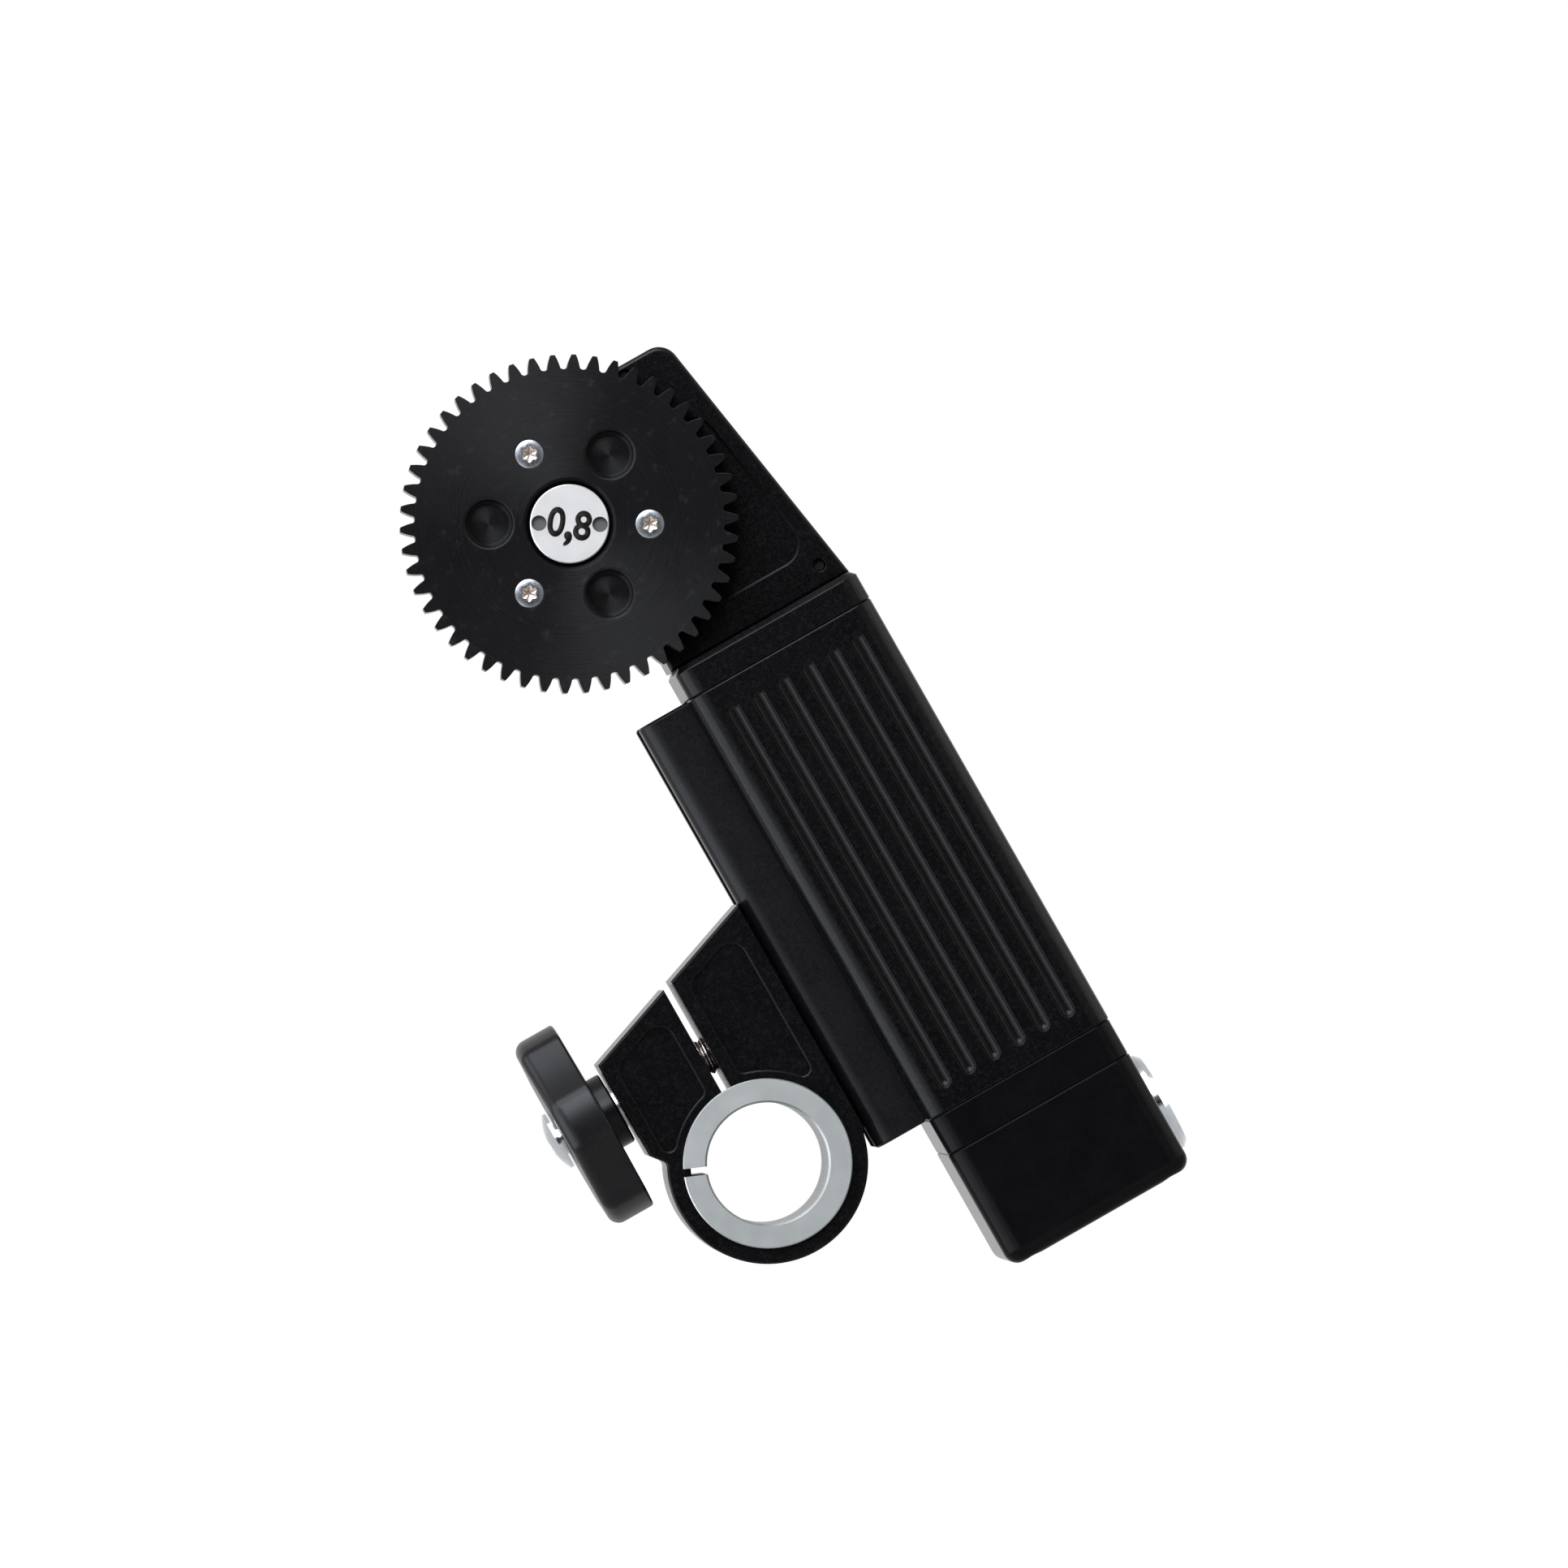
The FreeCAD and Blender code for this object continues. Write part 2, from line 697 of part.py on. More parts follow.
def make_clamp_knob():
    body = cylinder("side", stud_centre, knob_crest_radius, knob_outer_face, knob_inner_face)
    step = 360.0 / knob_lobes
    half_scallop = math.radians(step / 2 - knob_crest_half_angle)
    half_chord = knob_crest_radius * math.sin(half_scallop)
    sagitta = knob_scallop_depth - knob_crest_radius * (1 - math.cos(half_scallop))
    scallop_radius = (half_chord ** 2 + sagitta ** 2) / (2 * sagitta)
    reach = knob_crest_radius - knob_scallop_depth + scallop_radius
    ridges = []
    for index in range(knob_lobes):
        crest = 180 - knob_lobe_turn - index * step
        centre = polar(stud_centre, reach, crest + step / 2)
        body = body.cut(cylinder("side", centre, scallop_radius, knob_outer_face, knob_inner_face))
        ridges.append(polar(stud_centre, knob_crest_radius, crest - knob_crest_half_angle))
        ridges.append(polar(stud_centre, knob_crest_radius, crest + knob_crest_half_angle))
    body = body.makeFillet(knob_ridge_radius, edges_along(body, "side", ridges))
    body = body.makeFillet(knob_outer_fillet, edges_at(body, "side", knob_outer_face))
    body = body.makeFillet(knob_inner_fillet, edges_at(body, "side", knob_inner_face))
    hub = turned("side", stud_centre, [
        (0, knob_inner_face - knob_end_skin), (knob_hub_radius, knob_inner_face - knob_end_skin),
        (knob_hub_radius, knob_hub_end - knob_hub_chamfer),
        (knob_hub_radius - knob_hub_chamfer, knob_hub_end), (0, knob_hub_end),
    ])
    body = body.fuse(hub)
    body = body.cut(cylinder("side", stud_centre, stud_radius, knob_outer_face - 1, knob_hub_end + 1))
    bush_start = knob_outer_face + knob_end_skin
    return body.cut(cylinder("side", stud_centre, bush_radius, bush_start, knob_hub_end + 1))


def make_knob_bush():
    start = knob_outer_face + knob_end_skin
    return turned("side", stud_centre, [
        (stud_radius, start), (bush_radius, start), (bush_radius, knob_hub_end),
        (bush_nose_radius, knob_hub_end), (bush_nose_radius, -clamp_left_reach),
        (stud_radius, -clamp_left_reach),
    ])


def make_clamp_stud():
    bevel = stud_radius / 6
    body = turned("side", stud_centre, [
        (0, knob_outer_face), (stud_radius, knob_outer_face), (stud_radius, stud_end - bevel),
        (stud_radius - bevel, stud_end), (0, stud_end),
    ])
    return body.cut(cylinder("side", stud_centre, end_screw_thread_radius,
                             knob_outer_face, knob_outer_face + end_screw_thread_length))


def make_end_screw():
    seat = knob_outer_face - end_screw_gap
    rim = seat - end_screw_rim
    apex = rim - end_screw_dome
    sphere = (end_screw_radius ** 2 + end_screw_dome ** 2) / (2 * end_screw_dome)
    dome = []
    steps = 6
    for index in range(1, steps + 1):
        radius = end_screw_radius * index / steps
        dome.append((radius, apex + sphere - math.sqrt(sphere ** 2 - radius ** 2)))
    profile = [(0, apex)] + dome + [
        (end_screw_radius, seat), (end_screw_neck_radius, seat),
        (end_screw_neck_radius, knob_outer_face), (end_screw_thread_radius, knob_outer_face),
        (end_screw_thread_radius, knob_outer_face + end_screw_thread_length),
        (0, knob_outer_face + end_screw_thread_length),
    ]
    body = turned("side", stud_centre, profile)
    return body.cut(hexagon("side", stud_centre, end_screw_recess, apex - 1, apex + end_screw_recess_depth))


def make_slot_nut():
    half_width = slot_nut_width / 2
    half_length = slot_nut_length / 2
    low_corner = (-half_width, stud_height - half_length)
    high_corner = (half_width, stud_height + half_length)
    body = rounded_box("side", low_corner, high_corner, slot_nut_corner, slot_nut_left, slot_nut_right)
    bore = stud_radius + thread_clearance
    return body.cut(cylinder("side", stud_centre, bore, slot_nut_left, slot_nut_right))


def stop_centres():
    low = stud_height - slot_nut_length / 2 - slide_travel_up - stop_radius - stop_margin
    high = stud_height + slot_nut_length / 2 + slide_travel_down + stop_radius + stop_margin
    return [(0.0, low), (0.0, high)]


def make_guide_rail():
    half = rail_depth / 2
    corners = [
        (rail_left, -half, rail_edge_radius), (rail_right, -half, 0),
        (rail_right, half, 0), (rail_left, half, rail_edge_radius),
    ]
    body = prism("top", rounded_path(corners, True), housing_low, housing_top)
    ends = edges_at(body, "top", housing_low) + edges_at(body, "top", housing_top)
    body = body.makeChamfer(rail_end_chamfer, ends)
    mouth = key_width / 2 + key_clearance
    body = body.cut(Part.makeBox(rail_lip + 1, 2 * mouth, housing_length,
                                 FreeCAD.Vector(rail_left - 1, -mouth, housing_low)))
    reach = slot_nut_width / 2 + nut_side_clearance
    body = body.cut(rounded_box("top", (rail_cavity_left, -reach), (rail_floor, reach),
                                nut_side_clearance, housing_low, housing_top))
    for height in rail_screw_heights:
        body = body.cut(screw_hole("side", (0, height), flat_screw, rail_floor, rail_right + 1, True))
    for centre in stop_centres():
        body = body.cut(cylinder("side", centre, stop_radius, rail_floor - 1, rail_right + 1))
    return body


def make_rail_screws():
    tip = motor_x - motor_bore_radius - stud_clearance
    return Part.makeCompound([screw("side", (0, height), flat_screw, rail_floor, tip, True)
                              for height in rail_screw_heights])


def make_slide_stops():
    tip = rail_floor - stop_height_in_cavity
    return Part.makeCompound([cylinder("side", centre, stop_radius, tip, rail_right)
                              for centre in stop_centres()])


def housing_block(low, high, inset=0.0):
    return rounded_box("top", (housing_left + inset, housing_front + inset),
                       (housing_right - inset, housing_back - inset), housing_corner - inset, low, high)


def corner_screw_centres():
    return [(motor_x + side * corner_screw_x, deep * corner_screw_y)
            for side in (-1, 1) for deep in (-1, 1)]


def flute(x, y):
    low = housing_low + flute_end_margin_low + flute_half_width
    high = housing_top - flute_end_margin_high - flute_half_width
    tool = cylinder("top", (x, y), flute_radius, low, high)
    for level in (low, high):
        tool = tool.fuse(Part.makeSphere(flute_radius, point("top", (x, y), level)))
    return tool


def make_motor_housing():
    body = housing_block(housing_low, housing_top)
    ends = edges_at(body, "top", housing_low) + edges_at(body, "top", housing_top)
    body = body.makeChamfer(joint_chamfer, ends)
    body = body.cut(cylinder("top", motor_axis, motor_bore_radius, housing_low, housing_top))
    for index in range(flute_count):
        x = motor_x + (index - (flute_count - 1) / 2) * flute_pitch
        for y in (housing_front - flute_rise, housing_back + flute_rise):
            body = body.cut(flute(x, y))
    shank = flat_screw["shank"]
    for centre in corner_screw_centres():
        body = body.cut(cylinder("top", centre, shank, housing_top - corner_screw_depth, housing_top + 1))
        body = body.cut(cylinder("top", centre, shank, housing_low - 1, housing_low + corner_screw_depth))
    bore_reach = motor_x - motor_bore_radius / 2
    for height in rail_screw_heights:
        body = body.cut(cylinder("side", (0, height), shank, housing_left - 1, bore_reach))
    for centre in stop_centres():
        body = body.cut(cylinder("side", centre, stop_radius, housing_left - 1, housing_left))
    return body


# The room inside the foot and the band, with a post left round each long screw.
def base_room(low, high, shrink=0.0):
    inset = foot_wall + shrink
    room = rounded_box("top", (housing_left + inset, housing_front + inset),
                       (housing_right - inset, housing_back - inset), housing_corner / 2, low, high)
    for centre in corner_screw_centres():
        room = room.cut(cylinder("top", centre, post_radius + shrink, low, high))
    return room


def base_screw_holes(body):
    for centre in corner_screw_centres():
        body = body.cut(screw_hole("top", centre, cap_head_screw, foot_low + cap_head_screw["height"] / 4,
                                   housing_low + corner_screw_depth, False))
    return body


def make_band_frame():
    body = housing_block(band_low, housing_low, band_inset)
    ends = edges_at(body, "top", band_low) + edges_at(body, "top", housing_low)
    body = body.makeChamfer(joint_chamfer, ends)
    body = body.cut(base_room(band_low, ledge_height))
    body = body.cut(cylinder("top", motor_axis, band_opening_radius, band_low, housing_low))
    for centre in board_screw_centres():
        body = body.cut(cylinder("top", centre, small_screw["shank"], band_low, ledge_height + 2))
    return base_screw_holes(body)


def make_foot_cap():
    body = housing_block(foot_low, band_low)
    body = body.makeFillet(foot_bottom_fillet, edges_at(body, "top", foot_low))
    body = body.makeChamfer(joint_chamfer, edges_at(body, "top", band_low))
    body = body.cut(base_room(foot_low + foot_floor, band_low))
    body = body.cut(cylinder("side", socket_centre, socket_barrel_radius + socket_hole_clearance,
                             motor_x, housing_right + 1))
    return base_screw_holes(body)


def make_base_screws():
    head = foot_low + cap_head_screw["height"] / 4
    tip = housing_low + corner_screw_depth
    return Part.makeCompound([screw("top", centre, cap_head_screw, head, tip, False)
                              for centre in corner_screw_centres()])


def head_screw_centres():
    across = cover_front - cap_head_screw["shank"] - head_screw_wall
    along = gearbox_screw_reach() + gearbox_screw["shank"] + cap_head_screw["head"] + head_screw_spacing
    return [(motor_x + side * along, deep * across) for side in (-1, 1) for deep in (-1, 1)]


def gearbox_screw_reach():
    return motor_radius * 0.39


def gearbox_screw_centres():
    reach = gearbox_screw_reach()
    return [(motor_x + side * reach, deep * reach) for side in (-1, 1) for deep in (-1, 1)]


def make_top_cap():
    body = housing_block(housing_top, cap_top)
    body = body.makeChamfer(cap_top_chamfer, edges_at(body, "top", cap_top))
    body = body.makeChamfer(joint_chamfer, edges_at(body, "top", housing_top))
    shaft_hole = output_shaft_radius + cavity_clearance
    body = body.cut(cylinder("top", motor_axis, shaft_hole, housing_top, cap_top))
    for centre in corner_screw_centres():
        body = body.cut(screw_hole("top", centre, flat_screw, cap_top, housing_top, True))
    for centre in head_screw_centres():
        body = body.cut(screw_hole("top", centre, cap_head_screw, housing_top, cap_top, False))
    for centre in gearbox_screw_centres():
        body = body.cut(screw_hole("top", centre, gearbox_screw, cap_top, housing_top, False))
    return body


def make_cap_screws():
    tip = housing_top - corner_screw_depth
    return Part.makeCompound([screw("top", centre, flat_screw, cap_top, tip, True)
                              for centre in corner_screw_centres()])


def make_head_screws():
    tip = cap_top + corner_screw_depth
    return Part.makeCompound([screw("top", centre, cap_head_screw, housing_top, tip, False)
                              for centre in head_screw_centres()])


def make_gearbox_screws():
    tip = housing_top - output_shaft_engagement
    return Part.makeCompound([screw("top", centre, gearbox_screw, cap_top, tip, False)
                              for centre in gearbox_screw_centres()])


def head_right_at(height):
    return head_right - (height - cap_top) * math.tan(math.radians(head_slope))


# The head's outline: straight foot, slanted right side, and a round boss about the drive shaft.
def head_runs():
    shoulder = (housing_left, cap_top + head_shoulder_height)
    run = math.hypot(shoulder[0] - gear_x, shoulder[1] - gear_z)
    bearing = math.degrees(math.atan2(shoulder[1] - gear_z, shoulder[0] - gear_x))
    tangent_angle = bearing - math.degrees(math.acos(boss_radius / run))
    tangent = polar(gear_axis, boss_radius, tangent_angle)
    start = (gear_x, head_top)
    path = [
        (*tangent, 0), (*shoulder, head_shoulder_radius), (housing_left, cap_top, 0),
        (head_right, cap_top, 0),
        (head_right_at(head_top), head_top, head_corner), (*start, 0),
    ]
    runs = rounded_path(path, False)
    middle = polar(gear_axis, boss_radius, (90 + tangent_angle + 360) / 2)
    runs.append(("arc", start, middle, tangent))
    return runs


def cover_screw_centres():
    centres = [
        (motor_x + cover_screw_right, cap_top + cover_screw_low),
        (motor_x - cover_screw_left, cap_top + cover_screw_left_low),
        (motor_x + cover_screw_top_x, head_top - cover_screw_top_rim),
    ]
    for angle in cover_screw_boss_angles:
        centres.append(polar(gear_axis, boss_radius - cover_screw_boss_rim, angle))
    return centres


def make_gear_head():
    body = prism("front", head_runs(), head_front, cover_front)
    body = body.makeFillet(head_edge_fillet, edges_at(body, "front", head_front))
    low = cap_top + recess_low
    high = cap_top + recess_high
    rim = recess_side_rim / math.cos(math.radians(head_slope))
    left = motor_x - recess_left_from_motor
    recess = rounded_path([
        (left, low, recess_corner), (head_right_at(low) - rim, low, recess_corner),
        (head_right_at(high) - rim, high, recess_corner), (left, high, recess_corner),
    ], True)
    body = body.cut(prism("front", recess, head_front - 1, head_front + recess_depth))
    wheel_room = bevel_wheel_pitch + train_module + cavity_clearance / 2
    body = body.cut(cylinder("front", gear_axis, output_tip + cavity_clearance, head_inner, cover_front))
    body = body.cut(cylinder("front", cross_axis, wheel_room, head_inner, cover_front))
    link = rounded_box("front", (gear_x, cross_z - wheel_room / 2), (motor_x, cross_z + wheel_room / 2),
                       cavity_clearance, head_inner, cover_front)
    body = body.cut(link)
    body = body.cut(cylinder("front", gear_axis, drive_bearing_radius, head_front - 1, front_bearing_back))
    lip_radius = drive_bearing_radius - bearing_lip
    body = body.cut(cylinder("front", gear_axis, lip_radius, head_front - 1, cover_front))
    body = body.cut(cylinder("front", cross_axis, cross_bush_radius,
                             head_inner - cross_bush_front_length, cover_front))
    bush_top = cap_top + pinion_bush_rise + pinion_bush_length
    body = body.cut(cylinder("top", motor_axis, pinion_bush_radius, cap_top, bush_top))
    body = body.cut(cylinder("top", motor_axis, pinion_bore_radius, bush_top, cross_z))
    screw_top = cap_top + corner_screw_depth
    for centre in head_screw_centres():
        body = body.cut(cylinder("top", centre, cap_head_screw["shank"], cap_top, screw_top))
    for centre in cover_screw_centres():
        body = body.cut(cylinder("front", centre, small_screw["shank"], head_front - 1, cover_front))
    return body


def make_head_cover():
    body = prism("front", head_runs(), cover_front, head_back)
    body = body.makeFillet(head_edge_fillet, edges_at(body, "front", head_back))
    boss_reach = drive_bearing_radius + cover_screw_boss_rim
    boss = cylinder("front", gear_axis, boss_reach, rear_bearing_front, cover_front)
    body = body.fuse(boss)
    seat = cylinder("front", gear_axis, drive_bearing_radius, rear_bearing_front, rear_bearing_back)
    body = body.cut(seat)
    back = cover_front - cross_bush_rear_proud + cross_bush_rear_length
    body = body.cut(cylinder("front", cross_axis, cross_bush_radius, cover_front, back))
    for centre in cover_screw_centres():
        body = body.cut(screw_hole("front", centre, small_screw, head_back, cover_front, True))
    return body


def make_cover_screws():
    tip = head_front + cover_screw_tip_gap
    return Part.makeCompound([screw("front", centre, small_screw, head_back, tip, True)
                              for centre in cover_screw_centres()])


# A shielded ball bearing as one ring, with the step of its shield on both faces.
def bearing(centre, bore, low, high):
    wall = drive_bearing_radius - bore
    shield_low = bore + wall / 4
    shield_high = drive_bearing_radius - wall / 4
    step = wall / 10
    return turned("front", centre, [
        (bore, low), (shield_low, low), (shield_low, low + step), (shield_high, low + step),
        (shield_high, low), (drive_bearing_radius, low), (drive_bearing_radius, high), (shield_high, high),
        (shield_high, high - step), (shield_low, high - step), (shield_low, high), (bore, high),
    ])


def make_front_bearing():
    return bearing(gear_axis, drive_shaft_radius + running_clearance, head_front, front_bearing_back)


def make_rear_bearing():
    return bearing(gear_axis, drive_shaft_radius + running_clearance, rear_bearing_front, rear_bearing_back)


def make_cross_bush_front():
    return tube("front", cross_axis, cross_bush_radius, cross_shaft_radius + running_clearance,
                head_inner - cross_bush_front_length, head_inner)


def make_cross_bush_rear():
    low = cover_front - cross_bush_rear_proud
    return tube("front", cross_axis, cross_bush_radius, cross_shaft_radius + running_clearance,
                low, low + cross_bush_rear_length)


def make_pinion_bush():
    low = cap_top + pinion_bush_rise
    return tube("top", motor_axis, pinion_bush_radius, output_shaft_radius + running_clearance,
                low, low + pinion_bush_length)


def gear_screw_centres(turn):
    step = 360.0 / gear_screw_count
    return [polar(gear_axis, gear_screw_circle, turn + index * step) for index in range(gear_screw_count)]


def make_drive_gear():
    body = spur_gear(gear_axis, drive_teeth, drive_module, drive_tooth_angle, drive_backlash,
                     gear_front, gear_back)
    flange_room = hub_flange_radius + thread_clearance
    body = body.cut(cylinder("front", gear_axis, flange_room, hub_flange_front, gear_back + 1))
    bore = [
        (0, gear_front - 1), (gear_bore_radius + gear_bore_chamfer + 1, gear_front - 1),
        (gear_bore_radius, gear_front + gear_bore_chamfer), (gear_bore_radius, gear_back), (0, gear_back),
    ]
    body = body.cut(turned("front", gear_axis, bore))
    for centre in gear_screw_centres(gear_screw_angle):
        body = body.cut(screw_hole("front", centre, gear_screw, gear_front, gear_back, True))
    half_step = 180.0 / gear_screw_count
    floor = gear_front + dimple_depth
    for centre in gear_screw_centres(gear_screw_angle + half_step):
        dimple = [
            (0, gear_front - 1), (dimple_radius, gear_front - 1),
            (dimple_radius, floor - dimple_floor_bevel), (dimple_floor_radius, floor), (0, floor),
        ]
        body = body.cut(turned("front", centre, dimple))
    rims = [edge for edge in edges_at(body, "front", gear_front) if is_round(edge, dimple_radius)]
    return body.makeFillet(dimple_rim_fillet, rims)


def make_gear_screws():
    return Part.makeCompound([screw("front", centre, gear_screw, gear_front, hub_flange_back, True)
                              for centre in gear_screw_centres(gear_screw_angle)])


def make_gear_hub():
    body = turned("front", gear_axis, [
        (drive_shaft_radius, hub_boss_front), (gear_bore_radius, hub_boss_front),
        (gear_bore_radius, hub_flange_front), (hub_flange_radius, hub_flange_front),
        (hub_flange_radius, hub_flange_back), (hub_collar_radius, hub_flange_back),
        (hub_collar_radius, head_front), (drive_shaft_radius, head_front),
    ])
    for centre in gear_screw_centres(gear_screw_angle):
        body = body.cut(cylinder("front", centre, gear_screw["shank"], hub_flange_front, hub_flange_back))
    return body


def make_hub_nut():
    soft = insert_chamfer / 2
    thread_front = hub_boss_front - drive_thread_length
    hole_floor = gear_front + spanner_hole_depth
    body = turned("front", gear_axis, [
        (0, gear_front), (nut_disc_radius - soft, gear_front), (nut_disc_radius, gear_front + soft),
        (nut_disc_radius, hub_boss_front), (drive_thread_radius, hub_boss_front),
        (drive_thread_radius, thread_front), (0, thread_front),
    ])
    for side in (0, 180):
        centre = polar(gear_axis, spanner_hole_spacing / 2, spanner_turn + side)
        body = body.cut(cylinder("front", centre, spanner_hole_radius, gear_front, hole_floor))
    return body


def make_drive_shaft():
    end = rear_bearing_back - running_clearance
    thread_front = hub_boss_front - drive_thread_length
    return turned("front", gear_axis, [
        (0, thread_front), (drive_thread_radius, thread_front),
        (drive_thread_radius, hub_boss_front), (drive_shaft_radius, hub_boss_front),
        (drive_shaft_radius, end), (0, end),
    ])


def make_output_gear():
    body = spur_gear(gear_axis, output_teeth, train_module, mesh_angle, train_backlash,
                     spur_front, spur_back)
    boss_end = spur_back + output_boss_length
    body = body.fuse(cylinder("front", gear_axis, output_boss_radius, spur_back, boss_end))
    body = body.fuse(cylinder("front", gear_axis, drive_bearing_radius - 1.5 * bearing_lip,
                              front_bearing_back, spur_front))
    return body.cut(cylinder("front", gear_axis, drive_shaft_radius, head_front, boss_end))


def make_spacer_sleeve():
    return tube("front", gear_axis, drive_bearing_radius - 1.5 * bearing_lip, drive_shaft_radius,
                spur_back + output_boss_length, rear_bearing_front)


def make_cross_shaft():
    low = head_inner - cross_bush_front_length + running_clearance
    high = cover_front - cross_bush_rear_proud + cross_bush_rear_length - running_clearance
    return cylinder("front", cross_axis, cross_shaft_radius, low, high)


def make_cross_pinion():
    half_step = 180.0 / cross_pinion_teeth
    body = spur_gear(cross_axis, cross_pinion_teeth, train_module, mesh_angle + 180 + half_step,
                     train_backlash, spur_front, spur_back)
    boss_end = spur_back + cross_boss_length
    body = body.fuse(cylinder("front", cross_axis, cross_boss_radius, spur_back, boss_end))
    return body.cut(cylinder("front", cross_axis, cross_shaft_radius, spur_front, boss_end))


def make_bevel_wheel():
    teeth, root_radius, root_level, inner_level = bevel_teeth(
        "front", cross_axis, 0.0, 1, bevel_wheel_teeth, bevel_pinion_teeth, -90.0)
    back = root_level + bevel_wheel_back
    hub = turned("front", cross_axis, [
        (0, inner_level - wheel_hub_length), (wheel_hub_radius, inner_level - wheel_hub_length),
        (wheel_hub_radius, inner_level), (root_radius / 2, root_level),
        (root_radius, root_level), (root_radius, back), (0, back),
    ])
    body = teeth.fuse(hub)
    return body.cut(cylinder("front", cross_axis, cross_shaft_radius, head_front, head_back))


def make_bevel_pinion():
    half_step = 180.0 / bevel_pinion_teeth
    teeth, root_radius, root_level, inner_level = bevel_teeth(
        "top", motor_axis, cross_z, -1, bevel_pinion_teeth, bevel_wheel_teeth, 90.0 + half_step)
    low = cross_z - root_level
    hub = cylinder("top", motor_axis, pinion_hub_radius, low - pinion_hub_length, low)
    body = teeth.fuse(hub)
    return body.cut(cylinder("top", motor_axis, output_shaft_radius, low - pinion_hub_length, cross_z))


def make_output_shaft():
    inner_share = (cone_distance - bevel_face_width) / cone_distance
    high = cross_z - bevel_wheel_pitch * inner_share
    return cylinder("top", motor_axis, output_shaft_radius, housing_top - output_shaft_engagement, high)


def make_gearbox():
    body = cylinder("top", motor_axis, motor_radius, gearbox_low, housing_top)
    body = body.makeChamfer(can_wall / 2, edges_at(body, "top", housing_top))
    body = body.cut(cylinder("top", motor_axis, output_shaft_radius + running_clearance,
                             housing_top - output_shaft_engagement - running_clearance, housing_top))
    sun_room = gearbox_low + sun_depth + 1
    body = body.cut(cylinder("top", motor_axis, rotor_shaft_radius * 2, gearbox_low, sun_room))
    for centre in gearbox_screw_centres():
        body = body.cut(cylinder("top", centre, gearbox_screw["shank"],
                                 housing_top - output_shaft_engagement, housing_top))
    return body


def make_motor_can():
    body = cylinder("top", motor_axis, motor_radius, motor_low + end_cap_thickness, gearbox_low)
    room = cylinder("top", motor_axis, motor_radius - can_wall, motor_low, gearbox_low - can_end_wall)
    body = body.cut(room)
    bore = rotor_shaft_radius + running_clearance
    return body.cut(cylinder("top", motor_axis, bore, motor_low, gearbox_low))


def make_motor_end_cap():
    return tube("top", motor_axis, motor_radius, rotor_shaft_radius + running_clearance,
                motor_low, motor_low + end_cap_thickness)


def winding_span():
    room = gearbox_low - can_end_wall
    return room - winding_length, room


def make_motor_winding():
    outer = motor_radius - can_wall - winding_gap
    return tube("top", motor_axis, outer, outer - winding_wall, *winding_span())


def make_motor_rotor():
    low, high = winding_span()
    middle = (low + high) / 2
    magnet_low = middle - rotor_length / 2
    magnet_high = middle + rotor_length / 2
    shaft_low = motor_low - encoder_air_gap - encoder_magnet_length
    return turned("top", motor_axis, [
        (0, shaft_low), (rotor_shaft_radius, shaft_low), (rotor_shaft_radius, magnet_low),
        (rotor_radius, magnet_low), (rotor_radius, magnet_high), (rotor_shaft_radius, magnet_high),
        (rotor_shaft_radius, gearbox_low + sun_depth), (0, gearbox_low + sun_depth),
    ])


def make_encoder_magnet():
    high = motor_low - encoder_air_gap
    low = high - encoder_magnet_length
    return tube("top", motor_axis, encoder_magnet_radius, rotor_shaft_radius, low, high)


def make_encoder_board():
    high = motor_low - 2 * encoder_air_gap - encoder_magnet_length
    return cylinder("top", motor_axis, encoder_board_radius, high - encoder_board_thickness, high)


def make_encoder_cover():
    body = cylinder("top", motor_axis, encoder_radius, encoder_low, motor_low)
    body = body.makeFillet(encoder_wall, edges_at(body, "top", encoder_low))
    board_low = motor_low - 2 * encoder_air_gap - encoder_magnet_length - encoder_board_thickness
    body = body.cut(cylinder("top", motor_axis, encoder_radius - encoder_wall, board_low, motor_low))
    return body.cut(cylinder("top", motor_axis, encoder_board_radius - encoder_wall,
                             encoder_low + encoder_wall, motor_low))


def board_screw_centres():
    return [(motor_x - board_screw_reach, 0.0), (motor_x + board_screw_reach, 0.0)]


def make_control_board():
    body = base_room(ledge_height - board_thickness, ledge_height, board_clearance)
    for centre in board_screw_centres():
        body = body.cut(cylinder("top", centre, small_screw["shank"], band_low, ledge_height))
    return body


def make_board_screws():
    head = ledge_height - board_thickness - small_screw["height"]
    return Part.makeCompound([screw("top", centre, small_screw, head, ledge_height + 2, False)
                              for centre in board_screw_centres()])


def make_board_chips():
    under = ledge_height - board_thickness
    processor = {"x": -4.0, "y": 4.5, "side": 7.0, "height": 1.0}
    driver = {"x": -4.0, "y": -5.0, "side": 5.0, "height": 0.9}
    capacitor = {"x": 1.8, "y": -7.6, "radius": 2.0, "height": 5.0}
    solids = []
    for chip in (processor, driver):
        half = chip["side"] / 2
        x = motor_x + chip["x"]
        solids.append(rounded_box("top", (x - half, chip["y"] - half), (x + half, chip["y"] + half),
                                  half / 10, under - chip["height"], under))
    solids.append(cylinder("top", (motor_x + capacitor["x"], capacitor["y"]), capacitor["radius"],
                           under - capacitor["height"], under))
    return Part.makeCompound(solids)


def make_socket_shell():
    face = socket_seat + socket_flange_thickness
    floor = socket_barrel_end + insulator_thickness
    return turned("side", socket_centre, [
        (socket_bore_radius, socket_barrel_end), (socket_barrel_radius, socket_barrel_end),
        (socket_barrel_radius, socket_seat), (socket_flange_radius, socket_seat),
        (socket_flange_radius, face - socket_flange_chamfer),
        (socket_flange_radius - socket_flange_chamfer, face),
        (socket_bore_radius, face), (socket_bore_radius, floor),
    ])


